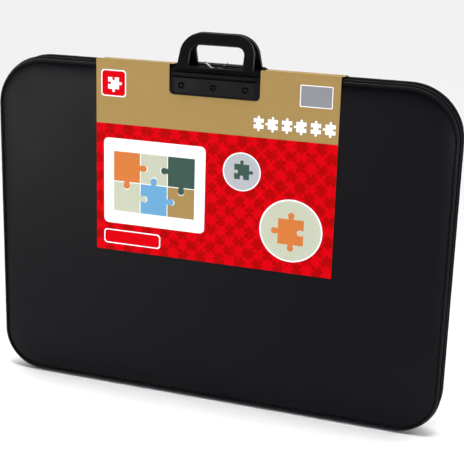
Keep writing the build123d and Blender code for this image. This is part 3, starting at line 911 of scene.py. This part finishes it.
# %% Make the piping
BEAD_LOW, BEAD_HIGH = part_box("front_piping")
BEAD_RADIUS = (BEAD_HIGH.y - BEAD_LOW.y) / 2
BEAD_DEPTH = -(BEAD_HIGH.y + BEAD_LOW.y) / 2
BEAD_INSET = BEAD_LOW.z + BEAD_RADIUS
BEAD_SPACING = 5 * MM
bead_values = {"Radius": BEAD_RADIUS, "Spacing": BEAD_SPACING, "Unevenness": 0.05, "Seed": 3}
for half, side in SIDES.items():
    edge = stations(BEAD_SPACING, whole=True)
    bead = path_object(half + "_piping_bead", edge, side, BEAD_DEPTH, BEAD_INSET, True)
    bead = grown(bead, TUBE, TUBE_NAMES, Material=PIPING_VINYL, **bead_values)
    stand_in(bead, half, half + "_piping")
print("radius of the bead:", round(BEAD_RADIUS / MM, 2), "mm")

# %% [markdown]
# ## Stitches
# Black thread sews the panel down in the groove beside the piping, and the zip's tape along the
# wall's edge. One stitch is a short strand that dips at both ends. The row tree sets it at the pitch of
# an upholstery seam and swings each one a little, as a sewing machine does.

# %% Sew the seams
STITCH_PITCH = 3.6 * MM
STITCH_LENGTH = 2.9 * MM
STITCH_RADIUS = 0.26 * MM
STITCH_SIDES = 5
STITCH_SWING = 0.12
PATH_SPACING = 5 * MM


def stitch_shape(name, length, radius):
    """One stitch, lying along X and arched towards Z."""
    rings = [(-0.5, -1.0, 0.5), (-0.36, 0.1, 1.0), (0.0, 0.55, 1.05), (0.36, 0.1, 1.0), (0.5, -1.0, 0.5)]
    points = []
    for share, lift, size in rings:
        for k in range(STITCH_SIDES):
            angle = math.tau * k / STITCH_SIDES
            y, z = radius * size * math.cos(angle), radius * (size * math.sin(angle) + lift)
            points.append((share * length, y, z))
    faces = skin(len(rings), STITCH_SIDES) + end_caps(len(rings), STITCH_SIDES)
    return add_object(name, mesh_from(name, points, faces))


def row(name, shape, edge, side, depth, inset, closed_run, face_out, pitch, turn, material):
    """A row of one shape along the outline. face_out turns the shape's Z to face front or back."""
    path = path_object(name, edge, side, depth, inset, closed_run)
    if face_out:
        for item in path.data.attributes["outward"].data:
            item.vector = (0, side, 0)
    values = {"Shape": shape, "Pitch": pitch, "Turn": turn, "Seed": 5, "Material": material}
    return grown(path, ROW, ROW_NAMES, **values)


stitch = stitch_shape("one_stitch", STITCH_LENGTH, STITCH_RADIUS)
PANEL_SEAM_INSET = PANEL_INSET + MARGIN_WIDTH / 2
TAPE_SEAM_DEPTH = GUSSET_EDGE + 1.3 * MM
TAPE_SEAM_INSET = bulge(-1, 1, WALL_STEPS)[1][1]
loop, arch = stations(PATH_SPACING, whole=True), stations(PATH_SPACING)
seams = [
    ("_panel_stitches", loop, MARGIN_FACE - GROOVE, PANEL_SEAM_INSET, True, True),
    ("_zip_stitches", arch, TAPE_SEAM_DEPTH, TAPE_SEAM_INSET, False, False),
]
for half, side in SIDES.items():
    for ending, edge, *rest in seams:
        seam = row(half + ending, stitch, edge, side, *rest, STITCH_PITCH, STITCH_SWING, THREAD)
        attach(seam, half)
        print(seam.name, triangles(seam), "triangles")
bpy.data.objects.remove(stitch)

# %% [markdown]
# ## Zip
# The tape is woven polyester, sewn under the wall's edge. Moulded teeth are clamped on it at one pitch,
# and those of the back half sit half a pitch further on, so the heads cross the middle between each other.
# A tooth narrows at its neck and widens at its head, which is what locks it.

# %% Make the tapes and teeth
TAPE_LOW, TAPE_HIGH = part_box("front_zip_tape")
CHAIN_LOW, CHAIN_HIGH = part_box("front_zip_chain")
TAPE_THICKNESS = 0.8 * MM
TAPE_ROUND = 0.3 * MM
ZIP_INSET = HEIGHT - TAPE_HIGH.z + TAPE_THICKNESS / 2
ZIP_END = CHAIN_LOW.z
TOOTH_PITCH = 2.6 * MM
TOOTH_HEIGHT = CHAIN_HIGH.z - (HEIGHT - ZIP_INSET)
TOOTH_BASE = -CHAIN_LOW.y
TOOTH_HEAD = -0.55 * MM
CLAMP = [(-0.62, 0.0), (-0.62, 0.42), (-0.36, 0.55)]
HEAD = [(-0.36, 0.66), (-0.6, 0.78), (-0.5, 0.95), (-0.22, 1.0)]


def tooth_shape(name):
    """One tooth, from its clamp at the tape (Y = 0) to its head at Y = the tooth's length."""
    length = TOOTH_BASE - TOOTH_HEAD
    left = CLAMP + HEAD
    plan = left + [(-x, y) for x, y in reversed(left)]
    levels = ((-1.0, 0.8), (-0.7, 1.0), (0.7, 1.0), (1.0, 0.8))
    points = []
    for level, draw in levels:
        points += [(x * draw * MM, y * length, level * TOOTH_HEIGHT) for x, y in plan]
    faces = end_caps(len(levels), len(plan)) + skin(len(levels), len(plan))
    return add_object(name, mesh_from(name, points, faces))


tooth = tooth_shape("one_tooth")
tape_inner, tape_outer = ZIP_INSET - TAPE_THICKNESS / 2, ZIP_INSET + TAPE_THICKNESS / 2
tape_profile = round_box(-TAPE_HIGH.y, tape_inner, -TAPE_LOW.y, tape_outer, TAPE_ROUND, steps=3)
tooth_values = {"Shape": tooth, "Pitch": TOOTH_PITCH, "Turn": 0.0, "Seed": 1}
for half, side in SIDES.items():
    tape = strip(half + "_zip_band", stations(6 * MM), side, tape_profile, ZIP_CLOTH, False)
    stand_in(tape, half, half + "_zip_tape")
    first_tooth = ZIP_END + (1.0 if side < 0 else 1.0 + 0.5) * TOOTH_PITCH
    edge = stations(4 * MM, low_end=first_tooth)
    path = path_object(half + "_zip_teeth", edge, side, TOOTH_BASE, ZIP_INSET, False)
    teeth = grown(path, ROW, ROW_NAMES, Material=ZIP_NYLON, **tooth_values)
    stand_in(teeth, half, half + "_zip_chain")
    depths = [vertex.co.y / MM for vertex in teeth.data.vertices]
    print(half, "teeth from Y", round(min(depths), 2), "to", round(max(depths), 2), "mm")
bpy.data.objects.remove(tooth)

# %% [markdown]
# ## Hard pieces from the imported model
# Sliders, pulls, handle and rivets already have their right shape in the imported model. Real castings and
# mouldings have no razor edges, though, and it is the small round on an edge that catches the light. So
# each is copied, its loose triangles are merged into flat faces, and a narrow Bevel rounds its edges. A
# Weighted Normal modifier then keeps the large faces evenly shaded, so that only the rounds turn.

# %% Soften the hard pieces
FLAT_ANGLE = math.radians(0.6)
BEVEL_ANGLE = math.radians(24)
BEVEL_SEGMENTS = 2
SLIDER_ROUND, PULL_ROUND, STOP_ROUND = 0.28 * MM, 0.22 * MM, 0.2 * MM


def packed_copy(node):
    """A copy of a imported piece's mesh, and a working mesh of it with its triangles merged into faces."""
    mesh = frame["nodes"][node].data.copy()
    work = bmesh.new()
    work.from_mesh(mesh)
    bmesh.ops.remove_doubles(work, verts=work.verts, dist=1e-6)
    bmesh.ops.dissolve_limit(work, angle_limit=FLAT_ANGLE, verts=work.verts, edges=work.edges)
    return mesh, work


def softened(node, name, radius, material):
    """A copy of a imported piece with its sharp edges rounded."""
    mesh, work = packed_copy(node)
    work.to_mesh(mesh)
    work.free()
    obj = add_object(name, mesh, material)
    bevel = obj.modifiers.new("soft_edges", "BEVEL")
    bevel.width = radius
    bevel.segments = BEVEL_SEGMENTS
    bevel.limit_method = "ANGLE"
    bevel.angle_limit = BEVEL_ANGLE
    bevel.use_clamp_overlap = True
    obj = finished(obj)
    close_mesh(obj.data)
    even = obj.modifiers.new("even_shading", "WEIGHTED_NORMAL")
    even.keep_sharp = True
    return finished(obj)


def paint_node(node, material):
    """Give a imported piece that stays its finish."""
    for slot in frame["nodes"][node].material_slots:
        slot.material = material


for side_name in ("right", "left"):
    for part, radius in (("slider", SLIDER_ROUND), ("pull", PULL_ROUND)):
        body = side_name + "_" + part
        stand_in(softened(body, body + "_cast", radius, NICKEL), body, body)
for half in SIDES:
    stops = softened(half + "_zip_stops", half + "_end_stops", STOP_ROUND, NICKEL)
    stand_in(stops, half, half + "_zip_stops")

# %% [markdown]
# ## Handle
# Each half of the handle is one moulding: a plate that is riveted on, a narrow link and the grip. Where
# they meet, the plastic thins to a web that bends, a living hinge. The webs are made here as thin strips
# across the hinge lines. The plate, link and grip are the imported shapes with their edges softened.

# %% Make the handle
WEB_THICKNESS = 0.45 * MM
WEB_REACH = 1.2 * MM
WEB_MARGIN = 2.0 * MM
WEB_ROWS = 6


def hinge_web(name, side, depth, height, lean, length):
    """A thin strip across one hinge line. lean is the mean slope of the two walls that it joins."""
    points = []
    rows = WEB_ROWS + 1
    up = Vector((0, -side * math.sin(lean), math.cos(lean)))
    thick = Vector((0, side * math.cos(lean), math.sin(lean)))
    centre = Vector((0, side * depth, height))
    for row_step in range(rows):
        rise = WEB_REACH * (2 * row_step / WEB_ROWS - 1)
        for x, out in ((-1, -1), (1, -1), (1, 1), (-1, 1)):
            point = centre + up * rise + thick * (out * WEB_THICKNESS / 2)
            points.append((x * length / 2, point.y, point.z))
    faces = end_caps(rows, 4) + skin(rows, 4)
    return add_object(name, mesh_from(name, points, faces), HANDLE_PLASTIC)


JOINTS = {joint["name"]: joint for joint in frame["joints"]}
LINK_LOW, LINK_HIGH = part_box("front_handle_link")
WEB_LENGTH = LINK_HIGH.x - LINK_LOW.x - WEB_MARGIN
LOWER_LEAN, UPPER_LEAN = math.radians(4), math.radians(13.6)
MOULDING_ROUND, RIVET_ROUND = 0.35 * MM, 0.12 * MM
for half, side in SIDES.items():
    link, grip = half + "_link", half + "_grip"
    for part, body in (("handle_plate", half), ("handle_link", link), ("grip", grip)):
        name = half + "_" + part.replace("handle_", "") + "_moulding"
        piece = softened(half + "_" + part, name, MOULDING_ROUND, HANDLE_PLASTIC)
        stand_in(piece, body, half + "_" + part)
    webs = (
        ("lower", "_link_bend", half, link, LOWER_LEAN),
        ("upper", "_grip_bend", link, grip, UPPER_LEAN),
    )
    for level, joint, below, above, lean in webs:
        pivot = Vector(JOINTS[half + joint]["pos_m"])
        web = hinge_web(half + "_web_" + level, side, abs(pivot.y), pivot.z, lean, WEB_LENGTH)
        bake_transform(web)
    rivets = softened(half + "_rivets", half + "_rivet_caps", RIVET_ROUND, RIVET_PAINT)
    stand_in(rivets, half, half + "_rivets")
    paint_node(half + "_rivet_strip", STRIP_STEEL)
    paint_node(half + "_board", CHIPBOARD)

# %% [markdown]
# ## Lining and insert boards
# Each half is lined with woven cloth. A loose board lies in each half, bound round its edge with tape
# and covered with felt, and the puzzle is built on it. They show only when the case is open, where the
# felt is the largest surface, so it gets its own soft edge and slow waves.

# %% Line the halves and make the boards
CLOTH_ROUND, FELT_ROUND = 0.3 * MM, 0.45 * MM
FELT_WAVE, WAVE_SIZE = 0.25 * MM, 90 * MM
WAVE_START = 8 * MM
SHOWN_ROWS, HIDDEN_ROWS = 22, 2


def layered_sheet(name, side, layer, material, edge_round, wave=0.0):
    """A flat layer in a packed one's place, with round edges. Its waves are on the side that shows."""
    low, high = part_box(layer)
    inset = low.z
    shallow, deep = sorted((abs(low.y), abs(high.y)))
    edge = stations(8 * MM, whole=True)
    lines = [(deep, inset + edge_round), (deep - edge_round, inset), (shallow + edge_round, inset)]
    lines += [(shallow + 0.3 * edge_round, inset + 0.4 * edge_round), (shallow, inset + edge_round)]
    lines += [(shallow, inset + WAVE_START)]
    rings = [at_depth(edge, side, depth, draw) for depth, draw in lines]
    face = to_the_middle(rings[-1], SHOWN_ROWS)
    for ring in face[:-1]:
        for point in ring:
            point[1] += side * wave * (0.5 + 0.5 * roughly(*point, WAVE_SIZE, 1.0 + side))
    back = to_the_middle(rings[0], HIDDEN_ROWS)
    return loft_rings(name, back[::-1] + rings + face, material)


def map_cloth(obj):
    """Give a flat or narrow piece a UV map in metres for its weave: X one way, Y and Z the other."""
    layer = obj.data.uv_layers.new(name="UVMap")
    for loop in obj.data.loops:
        spot = obj.data.vertices[loop.vertex_index].co
        layer.data[loop.index].uv = (spot.x, spot.z + spot.y)


BINDING_LOW, BINDING_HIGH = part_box("front_insert_binding")
BINDING_INSET = BINDING_LOW.z
BINDING_WIDTH = 9 * MM
BINDING_CLOTH_THICKNESS = 0.6 * MM


def binding_profile():
    """The tape folded round the board's edge, in (depth, inset)."""
    low, high, wide = -BINDING_HIGH.y, -BINDING_LOW.y, BINDING_INSET + BINDING_WIDTH
    middle, reach = (low + high) / 2, (high - low) / 2
    outside = [(low, wide)]
    for angle in (90, 60, 30, 0, -30, -60, -90):
        turn = math.radians(angle)
        outside.append((middle - reach * math.sin(turn), BINDING_INSET + reach * (1 - math.cos(turn))))
    outside.append((high, wide))
    thick = BINDING_CLOTH_THICKNESS
    edge = BINDING_INSET + thick
    return outside + [(high - thick, wide), (high - thick, edge), (low + thick, edge), (low + thick, wide)]


for half, side in SIDES.items():
    lining, felt_node = half + "_lining", half + "_insert_felt"
    cloth_layer = layered_sheet(half + "_lining_cloth", side, lining, LINING_CLOTH, CLOTH_ROUND)
    map_cloth(cloth_layer)
    felt_layer = layered_sheet(half + "_felt", side, felt_node, SAGE_FELT, FELT_ROUND, FELT_WAVE)
    edge = stations(6 * MM, whole=True)
    tape = strip(half + "_board_binding", edge, side, binding_profile(), BINDING_CLOTH, True)
    stand_in(cloth_layer, half, lining)
    stand_in(felt_layer, half, felt_node)
    stand_in(tape, half, half + "_insert_binding")
    paint_node(half + "_insert_board", CHIPBOARD)

# %% [markdown]
# ## Spine
# The spine is a strip of vinyl with its edges turned up to the two piping seams, a board inside and
# lining on top. A pleat of lining joins it to each half. The pleat is slack when the case is shut and
# opens out as the half folds down.

# %% Make the spine
SPINE_LOW, SPINE_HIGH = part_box("spine_cover")
SPINE_LENGTH = SPINE_HIGH.x - SPINE_LOW.x
SPINE_STEPS = 90
STRIP_LOW, STRIP_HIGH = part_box("spine_lining")
STRIP_HALF = STRIP_HIGH.y
STRIP_CHAMFER = (0.4 * MM, 0.3 * MM)


def along_spine(name, profile, material):
    """Loft a cross-section, given as (y, z) points in order, along the spine."""
    rings, count = SPINE_STEPS + 1, len(profile)
    points = [(SPINE_LENGTH * (i / SPINE_STEPS - 0.5), y, z) for i in range(rings) for y, z in profile]
    faces = skin(rings, count) + end_caps(rings, count)
    obj = add_object(name, mesh_from(name, points, faces), material)
    map_cloth(obj)
    return obj


def spine_profile():
    """The vinyl strip's cross-section: flat underneath, and curved up to both seams."""
    right = bulge(0, 1, 6) + [(GUSSET_SEAM, SPINE_HIGH.z), (GUSSET_SEAM - WALL, SPINE_HIGH.z)]
    right += bulge(FLANGE_SHARE, 0, 5, lift=WALL)
    return right + [(-y, z) for y, z in right[::-1]]


spine_skin = along_spine("spine_vinyl", spine_profile(), COVER_VINYL)
top_half, shoulder = STRIP_HALF - STRIP_CHAMFER[0], STRIP_HIGH.z - STRIP_CHAMFER[1]
strip_right = [(STRIP_HALF, STRIP_LOW.z), (STRIP_HALF, shoulder), (top_half, STRIP_HIGH.z)]
strip_profile = strip_right + [(-y, z) for y, z in strip_right[::-1]]
spine_cloth = along_spine("spine_lining_cloth", strip_profile, LINING_CLOTH)
stand_in(spine_skin, "spine", "spine_cover")
stand_in(spine_cloth, "spine", "spine_lining")
paint_node("spine_board", CHIPBOARD)

# %% [markdown]
# Each pleat starts on the spine's lining and ends on the half's. Between them a slack point draws it
# inwards, as a curve of the second degree, so it has no kink.

# %% Make the pleats
PLEAT_THICKNESS = 0.5 * MM
PLEAT_STEPS = 12
PLEAT_LAP, PLEAT_SINK = 0.8 * MM, 0.1 * MM
SLACK_REACH, SLACK_RISE = 3.4 * MM, 0.4 * MM
HALF_SINK, HALF_LAP = 0.4 * MM, 1.0 * MM
for half, side in SIDES.items():
    panel_low, panel_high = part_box(half + "_lining")
    panel_depth = min(abs(panel_low.y), abs(panel_high.y)) + HALF_SINK
    start = Vector((STRIP_HALF - PLEAT_LAP, STRIP_HIGH.z - PLEAT_SINK))
    end = Vector((panel_depth, panel_low.z + HALF_LAP))
    slack = Vector((STRIP_HALF - SLACK_REACH, (start.y + end.y) / 2 + SLACK_RISE))
    outer_line, inner_line = [], []
    for step in range(PLEAT_STEPS + 1):
        share = step / PLEAT_STEPS
        middle = start.lerp(slack, share).lerp(slack.lerp(end, share), share)
        outer_line.append((side * (middle.x + PLEAT_THICKNESS / 2), middle.y))
        inner_line.append((side * (middle.x - PLEAT_THICKNESS / 2), middle.y))
    pleat = along_spine(half + "_fold_pleat", outer_line + inner_line[::-1], LINING_CLOTH)
    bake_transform(pleat)
    print(pleat.name, "slack", round(slack.x / MM, 1), "mm from the middle")

# %% [markdown]
# ## Card sleeve
# The sleeve is printed card, folded over the top edge, with a hole for the handle. It starts from the
# packed one. A card that hangs free springs back from its folds, so the front crease stands up a little
# and the top slopes away from it, and droops behind the case's crest. To bend there, the flat top is cut
# into rows first. The outside is printed and the cut edges and the inside are bare white board, so the
# copy's faces are sorted by the way that they face.

# %% Make the card
def ink(name, screen):
    """Card printed in one colour, with next to no shine."""
    material, shader = start_finish(name, Specular_IOR_Level=0.012)
    vector = coordinates(material)
    patch = place(material, UNEVEN, vector, Scale=260.0)
    darker = linear(*[c * 0.975 for c in screen])
    tint(material, shader, patch.outputs["Value"], darker, linear(*screen))
    roughen(material, shader, vector, 35.0, 0.42, 0.52)
    return material


INKS = {
    "gold": ink("ink_gold", (161, 133, 80)),
    "red": ink("ink_red", (206, 2, 14)),
    "dark_red": ink("ink_dark_red", (168, 4, 6)),
    "white": ink("ink_white", (250, 250, 250)),
    "grey": ink("ink_grey", (138, 139, 142)),
    "light_grey": ink("ink_light_grey", (176, 178, 180)),
    "sage": ink("ink_sage", (190, 194, 170)),
    "orange": ink("ink_orange", (204, 118, 58)),
    "blue": ink("ink_blue", (104, 160, 196)),
    "green": ink("ink_green", (60, 84, 74)),
    "black": ink("ink_black", (30, 31, 33)),
}
CARD_CORE = pressed("card_core", (228, 226, 220), (210, 208, 202), 500.0)
CARD_LOW, CARD_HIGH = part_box("front_card")
PRINTED, BARE = 0, 1
FACES_OUT, FACES_SIDEWAYS = 0.3, 0.5
TOP_ZONE = 8 * MM
CREASE_LIFT = 4.4 * MM
CREASE_END = 5 * MM
REAR_START = 13 * MM
REAR_DROP = 2.6 * MM
TOP_ROWS = 12


def settle(work):
    """Let the card's top stand up at its front crease and droop behind the case's crest."""
    depths = np.linspace(CARD_LOW.y, -CARD_LOW.y, TOP_ROWS + 1)[1:-1]
    for depth in depths:
        geometry = work.verts[:] + work.edges[:] + work.faces[:]
        bmesh.ops.bisect_plane(work, geom=geometry, plane_co=(0, depth, 0), plane_no=(0, 1, 0))
    for vert in work.verts:
        if vert.co.z < HEIGHT - TOP_ZONE:
            continue
        rise = max(0.0, (CREASE_END - vert.co.y) / (CREASE_END - CARD_LOW.y))
        fall = max(0.0, (vert.co.y - REAR_START) / (-CARD_LOW.y - REAR_START))
        vert.co.z += CREASE_LIFT * rise**2 - REAR_DROP * fall


def card_piece(node, name, side):
    """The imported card, with its outside printed and its edges and inside bare."""
    mesh, work = packed_copy(node)
    settle(work)
    for face in work.faces:
        on_top = face.normal.z > FACES_OUT and face.calc_center_median().z > HEIGHT
        outside = on_top or face.normal.y * side > FACES_OUT
        face.material_index = PRINTED if outside and abs(face.normal.x) < FACES_SIDEWAYS else BARE
    work.to_mesh(mesh)
    work.free()
    obj = add_object(name, mesh)
    mesh.materials.clear()
    mesh.materials.append(INKS["gold"])
    mesh.materials.append(CARD_CORE)
    mesh.shade_smooth()
    mesh.set_sharp_from_angle(angle=SHARP_ANGLE)
    return obj


for half, side in SIDES.items():
    card = card_piece(half + "_card", half + "_card_sheet", side)
    stand_in(card, half, half + "_card")

# %% [markdown]
# ### Print
# The card carries flat colour: a gold band over a red field of jigsaw tiles, and a few plain shapes on
# both. Each colour is a layer of closed plates less than a tenth of a millimetre thick, so its edges stay
# sharp from any distance. A jigsaw outline is a rectangle whose edges each carry a knob or take one.

# %% Draw the print
PRINT_LEVEL = 0.06 * MM
PRINT_SINK = 0.02 * MM
CARD_FACE = -CARD_LOW.y
CARD_HALF = CARD_HIGH.x
CARD_FOOT = CARD_LOW.z
BAND_FOOT = 485 * MM
KNOB_NECK = 0.09
KNOB_HEIGHT = 0.14
KNOB_RADIUS = 0.125
KNOB_START, KNOB_TURN, KNOB_STEPS = 215, 250, 8
DISC_STEPS = 64


def scaled(*figures):
    """Millimetres as metres."""
    return [figure * MM for figure in figures]


def disc(x, z, radius):
    """A circle."""
    angles = [math.tau * step / DISC_STEPS for step in range(DISC_STEPS)]
    return [(x + radius * math.cos(angle), z + radius * math.sin(angle)) for angle in angles]


def jigsaw(x0, z0, width, height, knobs, draw=0.0):
    """One jigsaw piece. knobs are 1, -1 or 0 for the bottom, right, top and left edge. draw thins it."""
    corners = [(x0, z0), (x0 + width, z0), (x0 + width, z0 + height), (x0, z0 + height)]
    normals = [(0, -1), (1, 0), (0, 1), (-1, 0)]
    centre = (x0 + width / 2, z0 + height / 2)
    size = min(width, height)
    line = []
    for i, knob in enumerate(knobs):
        start, end, normal = corners[i], corners[(i + 1) % 4], normals[i]
        length = math.dist(start, end)
        profile = [(0.0, 0.0)]
        if knob:
            profile.append((0.5 - KNOB_NECK * size / length, 0.0))
            for step in range(KNOB_STEPS + 1):
                angle = math.radians(KNOB_START - KNOB_TURN * step / KNOB_STEPS)
                across = KNOB_RADIUS * size * math.cos(angle) / length
                profile.append((0.5 + across, (KNOB_HEIGHT + KNOB_RADIUS * math.sin(angle)) * size * knob))
            profile.append((0.5 + KNOB_NECK * size / length, 0.0))
        for share, out in profile:
            x = start[0] + (end[0] - start[0]) * share + normal[0] * out
            z = start[1] + (end[1] - start[1]) * share + normal[1] * out
            line.append((centre[0] + (x - centre[0]) * (1 - draw), centre[1] + (z - centre[1]) * (1 - draw)))
    return line


def jigsaw_block(x0, z0, width, height, columns, rows, seed, draw):
    """Pieces that interlock, as {(column, row): outline}. The block's own edges are straight."""
    chance = random.Random(seed)
    upright = {(i, j): chance.choice((-1, 1)) for i in range(1, columns) for j in range(rows)}
    level = {(i, j): chance.choice((-1, 1)) for i in range(columns) for j in range(1, rows)}
    wide, tall = width / columns, height / rows
    block = {}
    for i in range(columns):
        for j in range(rows):
            bottom, top = -level.get((i, j), 0), level.get((i, j + 1), 0)
            left, right = -upright.get((i, j), 0), upright.get((i + 1, j), 0)
            knobs = (bottom, right, top, left)
            block[i, j] = jigsaw(x0 + i * wide, z0 + j * tall, wide, tall, knobs, draw)
    return block


def plates(name, outlines, side, level, material):
    """One colour of the print: closed plates at a level above the card."""
    low = CARD_FACE + (level - 1) * PRINT_LEVEL - PRINT_SINK
    high = CARD_FACE + level * PRINT_LEVEL
    points, faces = [], []
    for line in outlines:
        first, count = len(points), len(line)
        points += [(x, side * depth, z) for depth in (low, high) for x, z in line]
        faces.append(tuple(range(first, first + count)))
        faces.append(tuple(range(first + 2 * count - 1, first + count - 1, -1)))
        for k in range(count):
            after = (k + 1) % count
            faces.append((first + k, first + after, first + count + after, first + count + k))
    return add_object(name, mesh_from(name, points, faces), material)


TILE_COLUMNS, TILE_ROWS = 25, 13
field = (-CARD_HALF, CARD_FOOT, 2 * CARD_HALF, BAND_FOOT - CARD_FOOT)
tiles = jigsaw_block(*field, TILE_COLUMNS, TILE_ROWS, seed=7, draw=0.015)
dark_tiles = [line for (i, j), line in tiles.items() if (i + j) % 2]
field_line = round_box(-CARD_HALF, CARD_FOOT, CARD_HALF, BAND_FOOT, 0.2 * MM, steps=1)
panel = round_box(*scaled(-198, 308, -12, 460, 9))
sample = jigsaw_block(*scaled(-180, 330, 150, 108), columns=3, rows=2, seed=11, draw=0.03)
sample_inks = ("sage", "orange", "blue", "sage", "gold", "green")
field_layers = [("red", 1, [field_line]), ("dark_red", 2, dark_tiles)]
front_print = field_layers + [
    ("white", 3, [panel, disc(*scaled(140, 332, 54)), disc(*scaled(52, 424, 33))]),
    ("light_grey", 4, [disc(*scaled(52, 424, 31))]),
    ("sage", 4, [disc(*scaled(140, 332, 51.5))]),
    ("orange", 5, [jigsaw(*scaled(118, 308, 44, 44), (1, -1, 1, 1))]),
    ("green", 5, [jigsaw(*scaled(39, 411, 26, 26), (-1, 1, 1, -1))]),
    ("white", 1, [round_box(*scaled(-203, 532, -157, 578, 6))]),
    ("red", 2, [round_box(*scaled(-201, 534, -159, 576, 5))]),
    ("white", 4, [jigsaw(*scaled(-190, 545, 20, 20), (1, 1, -1, -1))]),
    ("white", 2, [round_box(*scaled(146, 542, 200, 578, 2))]),
    ("grey", 3, [round_box(*scaled(147.5, 543.5, 198.5, 576.5, 1))]),
    ("white", 5, [round_box(*scaled(-198, 270, -92, 296, 6))]),
    ("red", 6, [round_box(*scaled(-196, 272, -94, 294, 5))]),
]
for line, name in zip(sample.values(), sample_inks):
    front_print.append((name, 6 if name in ("orange", "green") else 7, [line]))
row_pieces = []
for i in range(6):
    row_pieces.append(jigsaw(*scaled(70 + 24 * i, 500, 17, 17), (1, -1, 1, 1 if i % 2 else -1)))
front_print.append(("white", 6, row_pieces))
back_print = field_layers + [("white", 3, [round_box(*scaled(-150, 300, 150, 440, 9))])]
for half, side, design in (("front", -1, front_print), ("back", 1, back_print)):
    for order, (name, level, outlines) in enumerate(design):
        layer = plates(f"{half}_print_{order:02d}_{name}", outlines, side, level, INKS[name])
        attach(layer, half)
    print(half, "print:", len(design), "layers of colour")

# %% [markdown]
# ## Floor and light
# The photograph shows the case alone on white. A pale floor runs out to the horizon. The surroundings are
# white behind the case and dark in front of it, which is what keeps black vinyl black, except for a white
# band along the horizon. A low soft box at the left gives the padding its broad grey sheen, and a bluish
# one at the right draws the bright line down its crown. A third lights the top, and a narrow beam from
# above whitens the floor in front of the case.

# %% Set the stage
FLOOR_REACH = 60.0
BLUISH = (0.72, 0.76, 1.0)
DARK_IN_FRONT, WHITE_BEHIND = 0.08, 2.2


def floor_plane():
    """A large pale floor."""
    corners = [(x * FLOOR_REACH, y * FLOOR_REACH, 0) for x, y in ((-1, -1), (1, -1), (1, 1), (-1, 1))]
    mesh = bpy.data.meshes.new("floor")
    mesh.from_pydata(corners, [], [(0, 1, 2, 3)])
    paint, shader = start_finish("floor_paper", Roughness=0.9, Specular_IOR_Level=0.1)
    shader.inputs["Base Color"].default_value = linear(248, 248, 248)
    return add_object("floor", mesh, paint)


def soft_box(name, position, target, width, height, power, colour=(1.0, 1.0, 1.0), beam=180):
    """An area lamp aimed at a point. beam is how wide its light spreads, in degrees."""
    lamp = bpy.data.lights.new(name, "AREA")
    lamp.shape = "RECTANGLE"
    lamp.size, lamp.size_y = width, height
    lamp.energy = power
    lamp.color = colour
    lamp.spread = math.radians(beam)
    made = bpy.data.objects.new(name, lamp)
    made.location = position
    made.rotation_euler = (Vector(target) - Vector(position)).to_track_quat("-Z", "Y").to_euler()
    bpy.context.scene.collection.objects.link(made)
    return made


floor = floor_plane()
lamps = [
    soft_box("box_left", (-1.6, -2.1, 0.28), (-0.36, 0, 0.25), 1.4, 0.5, power=32),
    soft_box("box_right", (1.3, -1.8, 0.2), (0.4, 0, 0.25), 0.7, 0.34, power=13, colour=BLUISH),
    soft_box("box_above", (0.0, -0.35, 1.7), (0, -0.3, 0.0), 2.0, 0.7, power=12),
    soft_box("box_floor", (0.0, -0.22, 0.98), (0, -0.2, 0.0), 1.3, 0.12, power=1.1, beam=32),
]
world = bpy.data.worlds.new("studio")
bpy.context.scene.world = world
world.use_nodes = True
sky = world.node_tree
background = sky.nodes["Background"]
background.inputs["Color"].default_value = (1.0, 1.0, 1.0, 1.0)
looking = wire(sky, "ShaderNodeTexCoord")
parts_of = wire(sky, "ShaderNodeSeparateXYZ", {}, Vector=looking.outputs["Generated"])
front_to_back = spread(sky, parts_of.outputs["Y"], -0.05, 0.4, DARK_IN_FRONT, WHITE_BEHIND)
horizon = spread(sky, parts_of.outputs["Z"], 0.03, 0.1, 1.0, 0.0)
sky.links.new(maths(sky, "MAXIMUM", front_to_back, horizon), background.inputs["Strength"])
bpy.context.scene.view_settings.view_transform = "Standard"
print("lamps:", [lamp.name for lamp in lamps])
